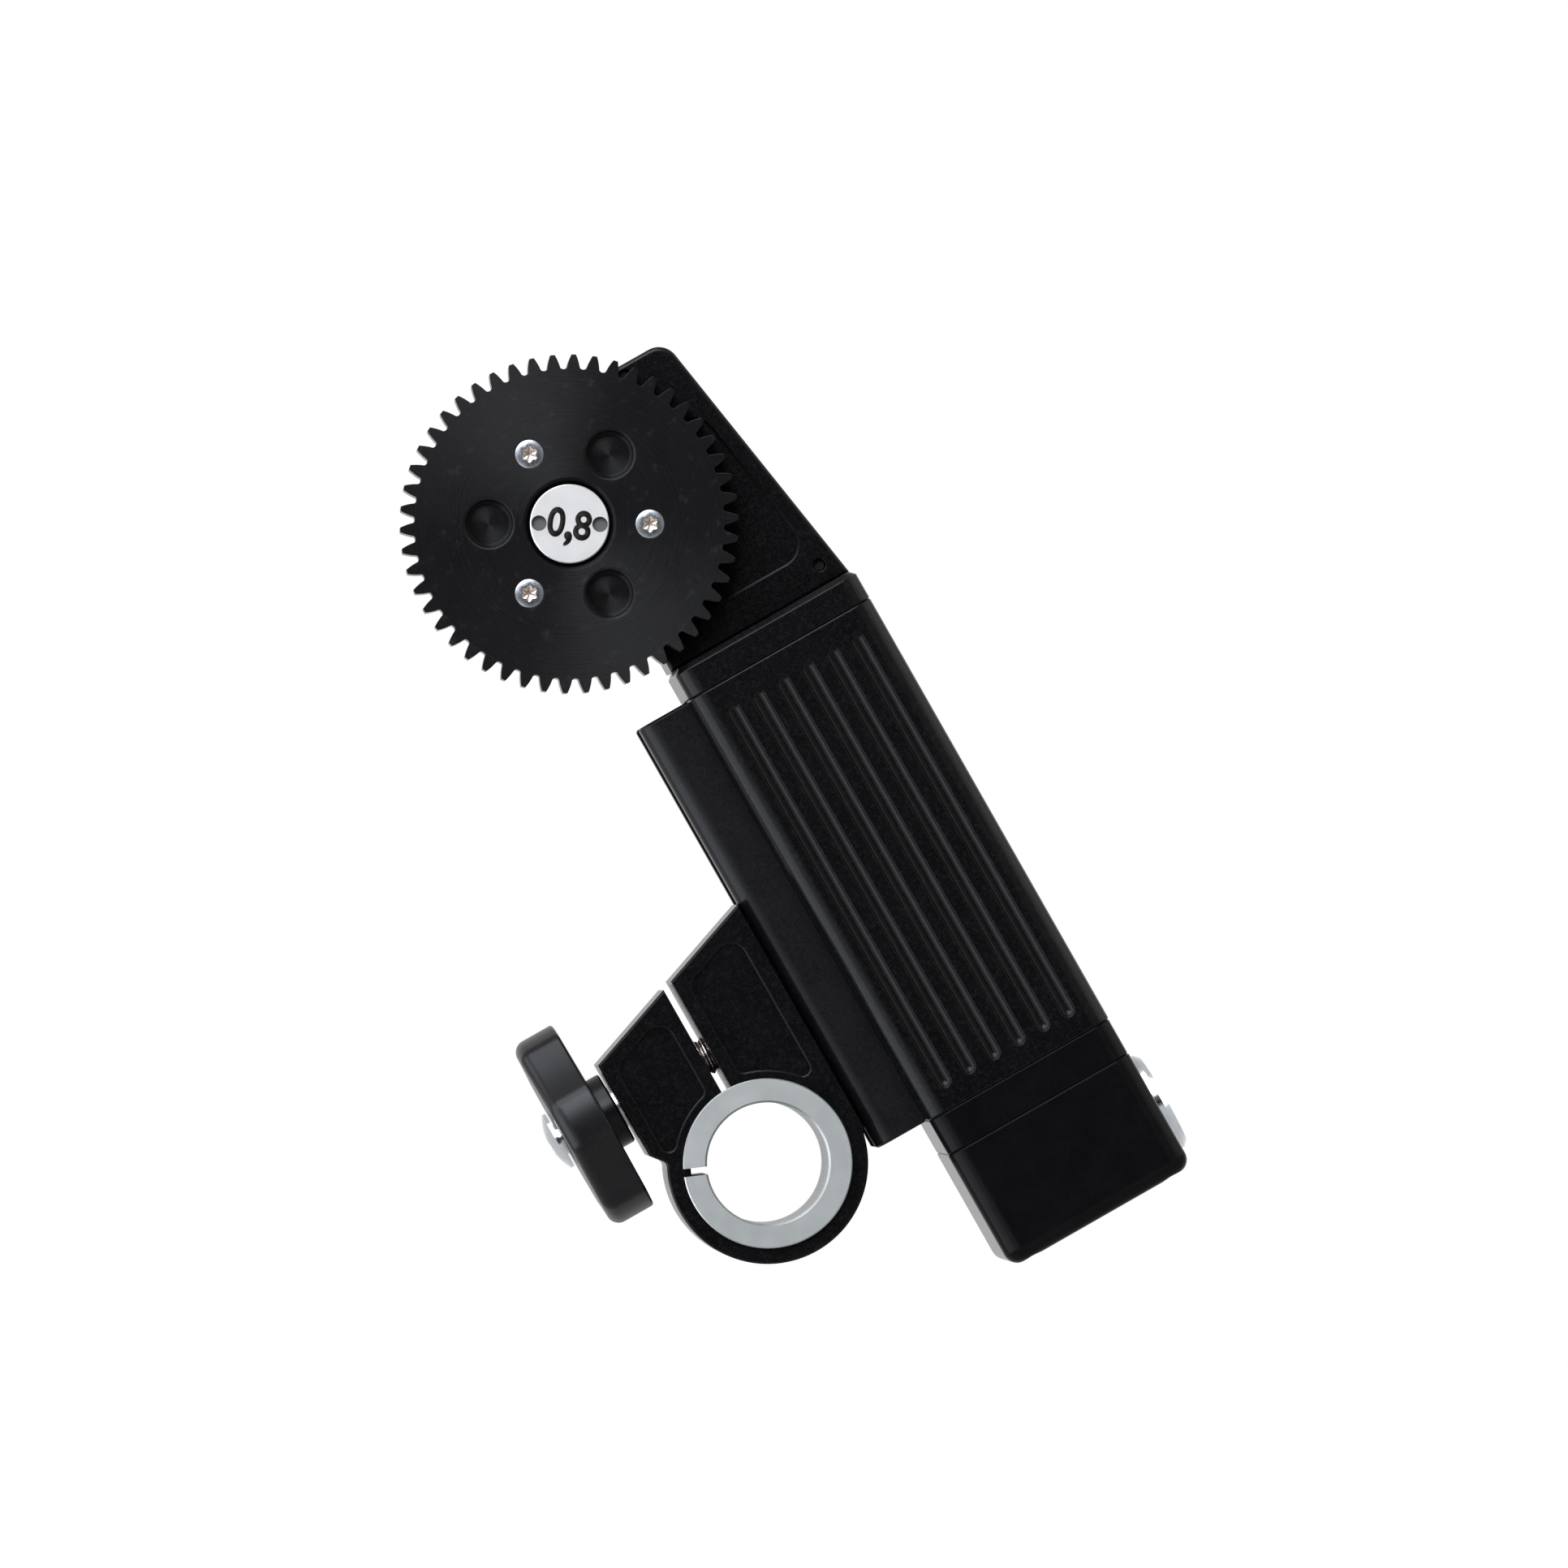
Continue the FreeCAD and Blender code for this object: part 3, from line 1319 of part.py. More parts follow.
def make_socket_nut():
    wall = housing_right - foot_wall
    body = hexagon("side", socket_centre, socket_nut_flats, wall - socket_nut_thickness, wall)
    bore = cylinder("side", socket_centre, socket_barrel_radius, wall - socket_nut_thickness, wall)
    return body.cut(bore)


def contact_centres():
    step = 360.0 / contact_count
    ring = [polar(socket_centre, contact_circle, index * step) for index in range(contact_count)]
    return [socket_centre] + ring


def make_socket_insulator():
    high = socket_barrel_end + insulator_thickness
    body = cylinder("side", socket_centre, socket_bore_radius, socket_barrel_end, high)
    for centre in contact_centres():
        body = body.cut(cylinder("side", centre, contact_radius, socket_barrel_end, high))
    return body


def make_socket_contacts():
    low = socket_barrel_end - contact_rear_reach
    high = socket_barrel_end + insulator_thickness + contact_front_reach
    return Part.makeCompound([cylinder("side", centre, contact_radius, low, high)
                              for centre in contact_centres()])


pieces = {
    "rod_clamp": make_rod_clamp,
    "rod_insert": make_rod_insert,
    "clamp_knob": make_clamp_knob,
    "knob_bush": make_knob_bush,
    "clamp_stud": make_clamp_stud,
    "end_screw": make_end_screw,
    "slot_nut": make_slot_nut,
    "guide_rail": make_guide_rail,
    "rail_screws": make_rail_screws,
    "slide_stops": make_slide_stops,
    "motor_housing": make_motor_housing,
    "band_frame": make_band_frame,
    "foot_cap": make_foot_cap,
    "base_screws": make_base_screws,
    "top_cap": make_top_cap,
    "cap_screws": make_cap_screws,
    "head_screws": make_head_screws,
    "gearbox_screws": make_gearbox_screws,
    "gear_head": make_gear_head,
    "head_cover": make_head_cover,
    "cover_screws": make_cover_screws,
    "front_bearing": make_front_bearing,
    "rear_bearing": make_rear_bearing,
    "cross_bush_front": make_cross_bush_front,
    "cross_bush_rear": make_cross_bush_rear,
    "pinion_bush": make_pinion_bush,
    "drive_gear": make_drive_gear,
    "gear_screws": make_gear_screws,
    "gear_hub": make_gear_hub,
    "hub_nut": make_hub_nut,
    "drive_shaft": make_drive_shaft,
    "output_gear": make_output_gear,
    "spacer_sleeve": make_spacer_sleeve,
    "cross_shaft": make_cross_shaft,
    "cross_pinion": make_cross_pinion,
    "bevel_wheel": make_bevel_wheel,
    "bevel_pinion": make_bevel_pinion,
    "output_shaft": make_output_shaft,
    "gearbox": make_gearbox,
    "motor_can": make_motor_can,
    "motor_end_cap": make_motor_end_cap,
    "motor_winding": make_motor_winding,
    "motor_rotor": make_motor_rotor,
    "encoder_magnet": make_encoder_magnet,
    "encoder_board": make_encoder_board,
    "encoder_cover": make_encoder_cover,
    "control_board": make_control_board,
    "board_screws": make_board_screws,
    "board_chips": make_board_chips,
    "socket_shell": make_socket_shell,
    "socket_nut": make_socket_nut,
    "socket_insulator": make_socket_insulator,
    "socket_contacts": make_socket_contacts,
}

os.makedirs("parts", exist_ok=True)
for name, make in pieces.items():
    shape = make()
    shape.exportStep("parts/" + name + ".step")
    state = "valid" if shape.isValid() else "INVALID"
    print(name, len(shape.Solids), "solid", round(shape.Volume, 2), "mm3", state)
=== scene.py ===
import json
import math

import bmesh
import bpy
from mathutils import Matrix, Vector


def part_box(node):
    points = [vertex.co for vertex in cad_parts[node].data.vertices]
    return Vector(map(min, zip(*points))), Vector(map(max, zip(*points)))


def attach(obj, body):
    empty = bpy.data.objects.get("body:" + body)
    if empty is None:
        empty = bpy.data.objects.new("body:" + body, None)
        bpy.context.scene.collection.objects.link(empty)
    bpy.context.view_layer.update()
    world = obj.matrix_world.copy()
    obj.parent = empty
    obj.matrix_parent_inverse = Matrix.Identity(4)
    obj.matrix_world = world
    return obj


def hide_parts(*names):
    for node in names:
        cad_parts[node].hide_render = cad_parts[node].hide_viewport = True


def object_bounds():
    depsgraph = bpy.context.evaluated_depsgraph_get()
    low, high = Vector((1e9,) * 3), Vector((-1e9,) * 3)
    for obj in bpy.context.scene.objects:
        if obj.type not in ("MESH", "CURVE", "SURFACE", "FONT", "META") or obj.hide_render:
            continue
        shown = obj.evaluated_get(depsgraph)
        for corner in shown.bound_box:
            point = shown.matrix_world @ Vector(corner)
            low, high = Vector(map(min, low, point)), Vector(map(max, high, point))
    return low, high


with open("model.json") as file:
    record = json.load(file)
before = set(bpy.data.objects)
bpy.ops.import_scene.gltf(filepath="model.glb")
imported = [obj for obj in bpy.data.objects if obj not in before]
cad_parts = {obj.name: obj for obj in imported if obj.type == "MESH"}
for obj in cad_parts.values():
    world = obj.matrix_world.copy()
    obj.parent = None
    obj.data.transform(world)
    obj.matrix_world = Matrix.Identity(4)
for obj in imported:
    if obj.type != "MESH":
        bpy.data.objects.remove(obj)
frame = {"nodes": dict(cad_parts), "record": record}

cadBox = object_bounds()
nodes = frame["nodes"]
mm = 0.001  # sizes below are in millimetres, the scene is in metres
print("frame loaded:", len(nodes), "nodes")

nodeSlot = {part["node"]: part["material_slot"] for part in frame["record"]["subparts"]}
gearCentre = (17.5, 0, 80.4)
gearFront = -14.0
behindFront = -13.9  # recesses and spanner holes in the gear's face lie behind this level
gearCircle = 9.87  # radius on which the gear's screws and pits lie
studCentre = (0, 0, 15.0)
thirds = (0, 120, 240)  # degrees
lean = 29.65  # degrees by which the photographed unit leans to the left


# What the finishes are made of: small helpers for a material's nodes

patchSpan, grainSpan, ringSpan, speckSpan = (0.3, 0.7), (0.35, 0.65), (0.3, 0.7), (0.5, 0.72)  # of the noises' 0 to 1
mixSockets = {"VECTOR": (4, 5, 1), "RGBA": (6, 7, 2)}  # a Mix node's two inputs and its output


def addNode(tree, kind, inputs=None, **settings):
    node = tree.nodes.new(kind)
    for name, value in settings.items():
        setattr(node, name, value)
    for name, value in (inputs or {}).items():
        node.inputs[name].default_value = value
    return node


def startMaterial(name, look):
    material = bpy.data.materials.new(name)
    material.use_nodes = True
    shader = material.node_tree.nodes["Principled BSDF"]
    shader.inputs["Metallic"].default_value = look.get("metallic", 0.0)
    shader.inputs["Roughness"].default_value = look["roughness"]
    shader.inputs["Specular IOR Level"].default_value = look.get("specular", 0.5)
    return material, material.node_tree, shader


def objectPlace(tree):
    return addNode(tree, "ShaderNodeTexCoord").outputs["Object"]


# Mixes two vectors or colours by a factor. A colour may be plain red, green and blue
def mixValues(tree, kind, factor, first, second):
    mix = addNode(tree, "ShaderNodeMix", data_type=kind)
    firstInput, secondInput, result = mixSockets[kind]
    tree.links.new(factor, mix.inputs[0])
    for index, value in ((firstInput, first), (secondInput, second)):
        if isinstance(value, tuple):
            mix.inputs[index].default_value = (*value, 1)
        else:
            tree.links.new(value, mix.inputs[index])
    return mix.outputs[result]


def mapValue(tree, value, span, result=(0, 1)):
    ranged = addNode(tree, "ShaderNodeMapRange", {
        "From Min": span[0], "From Max": span[1], "To Min": result[0], "To Max": result[1]})
    tree.links.new(value, ranged.inputs["Value"])
    return ranged.outputs["Result"]


def calculate(tree, operation, first, second):
    step = addNode(tree, "ShaderNodeMath", operation=operation)
    for socket, value in ((step.inputs[0], first), (step.inputs[1], second)):
        if isinstance(value, (int, float)):
            socket.default_value = value
        else:
            tree.links.new(value, socket)
    return step.outputs[0]


def noiseAt(tree, place, scale, detail=2.0, roughness=0.5):
    noise = addNode(tree, "ShaderNodeTexNoise", {"Scale": scale, "Detail": detail, "Roughness": roughness})
    tree.links.new(place, noise.inputs["Vector"])
    return noise.outputs["Fac"]


# A bump over edges that are softened by "edge" millimetres
def addBump(tree, shader, height, strength, distance, edge):
    bump = addNode(tree, "ShaderNodeBump", {"Strength": strength, "Distance": distance})
    tree.links.new(height, bump.inputs["Height"])
    tree.links.new(bump.outputs["Normal"], shader.inputs["Normal"])
    if edge:
        soft = addNode(tree, "ShaderNodeBevel", {"Radius": edge * mm}, samples=8)
        tree.links.new(soft.outputs["Normal"], bump.inputs["Normal"])


def vectorStep(tree, operation, first, second=None):
    step = addNode(tree, "ShaderNodeVectorMath", operation=operation)
    for socket, value in zip(step.inputs, (first, second)):
        if isinstance(value, (tuple, list)):
            socket.default_value = value
        elif value is not None:
            tree.links.new(value, socket)
    return step.outputs["Value" if operation == "LENGTH" else "Vector"]


# The way from a centre, with the axis that "across" leaves out taken away
def wayFrom(tree, place, centre, across):
    centred = vectorStep(tree, "SUBTRACT", place, [value * mm for value in centre])
    return vectorStep(tree, "MULTIPLY", centred, across)


# Small light specks over a colour, where a look has them
def addSpecks(tree, place, colour, look):
    if "specks" not in look:
        return colour
    dust = noiseAt(tree, place, look["speckScale"], detail=3.0, roughness=0.7)
    return mixValues(tree, "RGBA", mapValue(tree, dust, look.get("speckRange", speckSpan)), colour, look["specks"])


# Soft patches of two colours, and a roughness and a bump that follow one texture, "grain" or "ring"
def dressSurface(tree, shader, place, texture, span, kind, look):
    patches = noiseAt(tree, place, look["patchScale"], detail=4.0)
    colour = mixValues(tree, "RGBA", mapValue(tree, patches, patchSpan), look["dark"], look["light"])
    tree.links.new(addSpecks(tree, place, colour, look), shader.inputs["Base Color"])
    rough, swing = look["roughness"], look["roughnessSwing"]
    tree.links.new(mapValue(tree, texture, span, (rough - swing, rough + swing)), shader.inputs["Roughness"])
    addBump(tree, shader, texture, look[kind + "Strength"], look[kind + "Depth"] * mm, look.get("edge", 0.0))


# Blasted, milled or cast surfaces
def grainedMaterial(name, look):
    material, tree, shader = startMaterial(name, look)
    place = objectPlace(tree)
    grain = noiseAt(tree, place, look["grainScale"], detail=3.0, roughness=0.6)
    dressSurface(tree, shader, place, grain, grainSpan, "grain", look)
    return material


# Turned surfaces: rings about an axis. Pits with a centre of their own have their own rings
def turnedMaterial(name, look):
    material, tree, shader = startMaterial(name, look)
    place = objectPlace(tree)
    way = wayFrom(tree, place, look["centre"], look["across"])
    for pit in look.get("pits", []):
        own = wayFrom(tree, place, pit, look["across"])
        inside = calculate(tree, "LESS_THAN", vectorStep(tree, "LENGTH", own), look["pitRadius"] * mm)
        way = mixValues(tree, "VECTOR", inside, way, own)
    rings = addNode(tree, "ShaderNodeTexNoise", {"Scale": look["ringScale"], "Detail": 3.0}, noise_dimensions="1D")
    tree.links.new(vectorStep(tree, "LENGTH", way), rings.inputs["W"])
    dressSurface(tree, shader, place, rings.outputs["Fac"], ringSpan, "ring", look)
    if "anisotropic" in look:  # the way outwards as tangent lays the sheen across the rings
        shader.inputs["Anisotropic"].default_value = look["anisotropic"]
        outwards = addNode(tree, "ShaderNodeVectorTransform", vector_type="VECTOR", convert_from="OBJECT",
                           convert_to="WORLD")
        tree.links.new(vectorStep(tree, "NORMALIZE", way), outwards.inputs[0])
        tree.links.new(outwards.outputs[0], shader.inputs["Tangent"])
    return material


# Turns to another colour behind a level of Y, as in the holes of a face: a warm tint in the gear screws' recesses,
# and painted shade in the hub nut's spanner holes and behind its face
def tintAndPaintedShadeBehind(material, level, depth, colour):
    tree = material.node_tree
    parts = addNode(tree, "ShaderNodeSeparateXYZ")
    tree.links.new(objectPlace(tree), parts.inputs[0])
    behind = mapValue(tree, parts.outputs["Y"], (level * mm, (level + depth) * mm))
    baseColour = tree.nodes["Principled BSDF"].inputs["Base Color"]
    plain = baseColour.links[0].from_socket
    tree.links.new(mixValues(tree, "RGBA", behind, plain, colour), baseColour)
    return material


def aroundGear(radius, degrees, level=0):
    angle = math.radians(degrees)
    return (gearCentre[0] + radius * math.cos(angle), level, gearCentre[2] + radius * math.sin(angle))


# In a look, scales count per metre, and depths, edges and radii are in millimetres
blackHousing = {
    "dark": (0.0005, 0.0005, 0.0006), "light": (0.001, 0.001, 0.0012), "specks": (0.0028, 0.0027, 0.0027),
    "speckScale": 1700, "roughness": 0.25, "roughnessSwing": 0.06, "specular": 0.085, "edge": 0.2,
    "grainScale": 5200, "patchScale": 300, "grainStrength": 0.35, "grainDepth": 0.012}
finishes = {
    "black_anodised_blasted": grainedMaterial("blackHousing", blackHousing),
    "black_anodised_smooth": grainedMaterial("blackFoot", {
        **blackHousing, "dark": (0.0012, 0.0012, 0.0013), "light": (0.0018, 0.0018, 0.002), "roughness": 0.2,
        "specks": (0.0011, 0.0011, 0.0011), "roughnessSwing": 0.02, "specular": 0.035, "grainStrength": 0.12,
        "grainDepth": 0.005}),
    "black_anodised_knob": grainedMaterial("blackKnob", {
        **blackHousing, "dark": (0.001, 0.001, 0.0012), "light": (0.002, 0.002, 0.0024), "roughness": 0.32,
        "specks": (0.0024, 0.0024, 0.0028), "roughnessSwing": 0.04, "specular": 0.13, "grainScale": 7000}),
    "black_gear": turnedMaterial("blackGear", {
        "dark": (0.0007, 0.0007, 0.0008), "light": (0.0014, 0.0014, 0.0017), "roughness": 0.36,
        "specks": (0.0045, 0.0045, 0.005), "speckScale": 650, "speckRange": (0.58, 0.72),
        "roughnessSwing": 0.06, "specular": 0.082, "edge": 0.14, "centre": gearCentre, "across": (1, 0, 1),
        "pits": [aroundGear(gearCircle, -lean + 60 + third) for third in thirds], "pitRadius": 3.0,
        "ringScale": 5200, "patchScale": 260, "ringStrength": 0.7, "ringDepth": 0.02, "anisotropic": 0.85}),
    "satin_aluminium": turnedMaterial("insertAluminium", {
        "dark": (0.22, 0.232, 0.229), "light": (0.27, 0.278, 0.274), "metallic": 1.0, "roughness": 0.42,
        "roughnessSwing": 0.05, "centre": (0, 0, 0), "across": (1, 0, 1), "ringScale": 12000, "patchScale": 200,
        "ringStrength": 0.2, "ringDepth": 0.006}),
    "silver_aluminium": turnedMaterial("nutAluminium", {
        "dark": (0.28, 0.277, 0.272), "light": (0.31, 0.307, 0.3), "metallic": 1.0, "roughness": 0.45,
        "roughnessSwing": 0.05, "centre": gearCentre, "across": (1, 0, 1), "ringScale": 8000, "patchScale": 400,
        "ringStrength": 0.1, "ringDepth": 0.005}),
    "bright_nickel": turnedMaterial("brightNickel", {
        "dark": (0.36, 0.38, 0.4), "light": (0.5, 0.52, 0.54), "metallic": 1.0, "roughness": 0.16,
        "roughnessSwing": 0.04, "centre": studCentre, "across": (0, 1, 1), "ringScale": 5000, "patchScale": 200,
        "ringStrength": 0.1, "ringDepth": 0.004}),
    "steel": grainedMaterial("bareSteel", {
        "dark": (0.42, 0.42, 0.43), "light": (0.56, 0.56, 0.57), "metallic": 1.0, "roughness": 0.3,
        "roughnessSwing": 0.06, "grainScale": 6000, "patchScale": 500, "grainStrength": 0.2, "grainDepth": 0.006}),
    "black_steel": grainedMaterial("blackOxide", {
        "dark": (0.003, 0.003, 0.0032), "light": (0.006, 0.006, 0.0064), "specular": 0.12, "roughness": 0.3,
        "roughnessSwing": 0.06, "grainScale": 6000, "patchScale": 800, "grainStrength": 0.2, "grainDepth": 0.006}),
    "bronze": grainedMaterial("sinteredBronze", {
        "dark": (0.42, 0.27, 0.12), "light": (0.55, 0.38, 0.18), "metallic": 1.0, "roughness": 0.45,
        "roughnessSwing": 0.1, "grainScale": 8000, "patchScale": 1500, "grainStrength": 0.5, "grainDepth": 0.02}),
    "gold_plate": grainedMaterial("goldPlate", {
        "dark": (0.8, 0.58, 0.2), "light": (0.88, 0.66, 0.28), "metallic": 1.0, "roughness": 0.2,
        "roughnessSwing": 0.03, "grainScale": 4000, "patchScale": 900, "grainStrength": 0.1, "grainDepth": 0.003}),
    "black_plastic": grainedMaterial("mattBlackPlastic", {
        "dark": (0.02, 0.02, 0.02), "light": (0.028, 0.028, 0.028), "roughness": 0.5,
        "roughnessSwing": 0.06, "grainScale": 6000, "patchScale": 500, "grainStrength": 0.3, "grainDepth": 0.01}),
    "green_board": grainedMaterial("greenSolderMask", {
        "dark": (0.012, 0.1, 0.045), "light": (0.02, 0.16, 0.075), "roughness": 0.35,
        "roughnessSwing": 0.05, "grainScale": 3000, "patchScale": 900, "grainStrength": 0.1, "grainDepth": 0.01}),
    "chip_black": grainedMaterial("mouldedChip", {
        "dark": (0.018, 0.018, 0.018), "light": (0.025, 0.025, 0.025), "roughness": 0.55,
        "roughnessSwing": 0.05, "grainScale": 7000, "patchScale": 700, "grainStrength": 0.3, "grainDepth": 0.01}),
    "copper_wire": grainedMaterial("enamelledCopper", {
        "dark": (0.42, 0.16, 0.07), "light": (0.6, 0.26, 0.12), "metallic": 1.0, "roughness": 0.3,
        "roughnessSwing": 0.08, "grainScale": 3000, "patchScale": 1500, "grainStrength": 0.4, "grainDepth": 0.05}),
    "rotor_magnet": grainedMaterial("platedMagnet", {
        "dark": (0.3, 0.3, 0.31), "light": (0.38, 0.38, 0.39), "metallic": 1.0, "roughness": 0.28,
        "roughnessSwing": 0.04, "grainScale": 5000, "patchScale": 600, "grainStrength": 0.2, "grainDepth": 0.005}),
}
screwSteel = tintAndPaintedShadeBehind(grainedMaterial("screwSteel", {
    "dark": (0.12, 0.127, 0.14), "light": (0.19, 0.2, 0.218), "metallic": 1.0, "roughness": 0.26,
    "roughnessSwing": 0.06, "grainScale": 5000, "patchScale": 900, "grainStrength": 0.25, "grainDepth": 0.008}),
    level=behindFront, depth=0.5, colour=(0.34, 0.28, 0.24))
# painted shade: the hub nut's aluminium turns dark behind its face, in its spanner holes and on its sides
tintAndPaintedShadeBehind(finishes["silver_aluminium"], level=behindFront, depth=0.4, colour=(0.07, 0.07, 0.068))
studSteel = grainedMaterial("studSteel", {
    "dark": (0.42, 0.35, 0.33), "light": (0.62, 0.54, 0.52), "metallic": 1.0, "roughness": 0.28,
    "roughnessSwing": 0.06, "grainScale": 5000, "patchScale": 900, "grainStrength": 0.3, "grainDepth": 0.008})
numberInk = grainedMaterial("numberInk", {
    "dark": (0.002, 0.0015, 0.0014), "light": (0.004, 0.003, 0.0028), "roughness": 0.5, "roughnessSwing": 0.05,
    "specular": 0.06, "grainScale": 9000, "patchScale": 900, "grainStrength": 0.1, "grainDepth": 0.003})
for nodeName, nodeObject in nodes.items():
    nodeObject.data.materials.clear()
    nodeObject.data.materials.append(finishes[nodeSlot[nodeName]])
nodes["gear_hub"].data.materials[0] = finishes["black_gear"]
nodes["knob_bush"].data.materials[0] = finishes["steel"]
nodes["guide_rail"].data.materials[0] = grainedMaterial("blackRail", {
    **blackHousing, "dark": (0.0018, 0.0018, 0.0021), "light": (0.0027, 0.0027, 0.0031), "roughness": 0.31,
    "specks": (0.0034, 0.0034, 0.0038)})
print("finishes set:", len(finishes))


# Meshes: turned shapes, screws with a shaped recess, and copies placed by Geometry Nodes

def linkObject(name, data):
    item = bpy.data.objects.new(name, data)
    bpy.context.scene.collection.objects.link(item)
    return item


def bakeObject(item, name):
    bpy.context.view_layer.update()
    evaluated = item.evaluated_get(bpy.context.evaluated_depsgraph_get())
    mesh = bpy.data.meshes.new_from_object(evaluated)
    mesh.name = name
    bpy.data.objects.remove(item)
    return linkObject(name, mesh)


# Rings about local Z, each a radius or a function of the angle, joined in order and closed at both ends
def ringedMesh(name, rings, sides, sharpDegrees=35):
    mesh = bpy.data.meshes.new(name)
    build = bmesh.new()
    loops = []
    for radiusAt, level in rings:
        loop = []
        for side in range(sides):
            angle = 2 * math.pi * side / sides
            radius = radiusAt(angle) if callable(radiusAt) else radiusAt
            point = (radius * mm * math.cos(angle), radius * mm * math.sin(angle), level * mm)
            loop.append(build.verts.new(point))
        loops.append(loop)
    for lower, upper in zip(loops, loops[1:]):
        for side in range(sides):
            after = (side + 1) % sides
            build.faces.new((lower[side], lower[after], upper[after], upper[side]))
    for loop in (loops[0], loops[-1]):
        middle = build.verts.new(sum((vertex.co for vertex in loop), Vector()) / sides)
        for side in range(sides):
            build.faces.new((loop[side], loop[(side + 1) % sides], middle))
    bmesh.ops.recalc_face_normals(build, faces=build.faces)
    for face in build.faces:
        face.smooth = True
    for edge in build.edges:
        if len(edge.link_faces) == 2 and edge.calc_face_angle() > math.radians(sharpDegrees):
            edge.smooth = False
    build.to_mesh(mesh)
    build.free()
    return mesh


lobeMean, lobeSwing = 0.87, 0.13  # shares of a six-lobe recess's radius
# Shares of a screw's own sizes, for its tip, its head's edge and its recess
screwShape = {"tip": 0.8, "tipLength": 0.3, "rim": 0.12, "edgeStep": 0.3, "recessTaper": 0.95,
              "recessPoint": 0.4, "recessCone": 1.15}


def sixLobe(size):
    return lambda angle: size * (lobeMean + lobeSwing * math.cos(6 * angle))


def sixSided(acrossFlats):
    side = math.pi / 3
    return lambda angle: acrossFlats / 2 / math.cos((angle + side / 2) % side - side / 2)


# A screw along local Z with its head's top at 0 and its tip at -length
def screwMesh(name, screw):
    head, shank, height, soft = screw["head"], screw["shank"], screw["height"], screw["soft"]
    length, recess, depth = screw["length"], screw["recess"], screw["recessDepth"]
    rim = screwShape["rim"] * height if screw["countersunk"] else 0
    step = soft * screwShape["edgeStep"]
    rings = [
        (shank * screwShape["tip"], -length), (shank, -length + shank * screwShape["tipLength"]),
        (shank, -height), (shank if screw["countersunk"] else head, -height),
        (head, -soft - rim), (head, -soft), (head - step, -step), (head - soft, 0), (recess, 0),
        (lambda angle: recess(angle) * screwShape["recessTaper"], -depth),
        (lambda angle: recess(angle) * screwShape["recessPoint"], -depth * screwShape["recessCone"]),
    ]
    return ringedMesh(name, rings, screw["sides"])


def newTree(name, sockets):
    tree = bpy.data.node_groups.new(name, "GeometryNodeTree")
    tree.interface.new_socket(name="Geometry", in_out="INPUT", socket_type="NodeSocketGeometry")
    for label, kind in sockets:
        tree.interface.new_socket(name=label, in_out="INPUT", socket_type=kind)
    tree.interface.new_socket(name="Geometry", in_out="OUTPUT", socket_type="NodeSocketGeometry")
    return tree, tree.nodes.new("NodeGroupInput"), tree.nodes.new("NodeGroupOutput")


# Each row is a node, its output, the node that it leads to and the input there
def wire(tree, *rows):
    for source, leaving, target, entering in rows:
        tree.links.new(source.outputs[leaving], target.inputs[entering])


def runTree(name, tree, mesh, values):
    holder = linkObject(name + "Holder", mesh)
    modifier = holder.modifiers.new("build", "NODES")
    modifier.node_group = tree
    for item in tree.interface.items_tree:
        if item.in_out == "INPUT" and item.name in values:
            modifier[item.identifier] = values[item.name]
    return bakeObject(holder, name)


# One screw set on every place of a mesh of loose points
def screwSet(name, screw, places, turn, finish):
    tree, enter, leave = newTree(name + "Tree", [
        ("Screw", "NodeSocketObject"), ("Turn", "NodeSocketVector"), ("Finish", "NodeSocketMaterial")])
    source = linkObject(name + "Source", screwMesh(name + "Source", screw))
    info = tree.nodes.new("GeometryNodeObjectInfo")
    setOn = tree.nodes.new("GeometryNodeInstanceOnPoints")
    solid = tree.nodes.new("GeometryNodeRealizeInstances")
    paint = tree.nodes.new("GeometryNodeSetMaterial")
    wire(tree, (enter, "Screw", info, "Object"), (enter, "Geometry", setOn, "Points"),
         (info, "Geometry", setOn, "Instance"), (enter, "Turn", setOn, "Rotation"),
         (setOn, "Instances", solid, "Geometry"), (solid, "Geometry", paint, "Geometry"),
         (enter, "Finish", paint, "Material"), (paint, "Geometry", leave, "Geometry"))
    mesh = bpy.data.meshes.new(name + "Places")
    mesh.from_pydata([[value * mm for value in place] for place in places], [], [])
    values = {"Screw": source, "Turn": [math.radians(value) for value in turn], "Finish": finish}
    piece = runTree(name, tree, mesh, values)
    bpy.data.objects.remove(source)
    return piece


def placePiece(piece, body, node):
    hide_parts(node)
    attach(piece, body)


motorX, capTop, footLow, coverBack = 32.43, 58.4, -26.0, 8.0
cornerAcross, cornerDeep = 9.9, 10.8  # from the motor's axis to its corner screws
corners = [(motorX + across, deep) for across in (-cornerAcross, cornerAcross) for deep in (-cornerDeep, cornerDeep)]
# Degrees about X, Y and Z that turn a screw's head to that side
towardsFront, towardsBack, upwards, downwards = (90, 0, 0), (-90, 0, 0), (0, 0, 0), (180, 0, 0)

gearScrew = {"head": 1.78, "shank": 1.0, "height": 0.9, "soft": 0.12, "countersunk": True, "length": 5.2,
             "recess": sixLobe(1.05), "recessDepth": 0.7, "sides": 96}
gearPlaces = [aroundGear(gearCircle, -lean + third, gearFront) for third in thirds]
gearScrews = screwSet("sixLobeGearScrews", gearScrew, gearPlaces, towardsFront, screwSteel)
placePiece(gearScrews, "drive", "gear_screws")

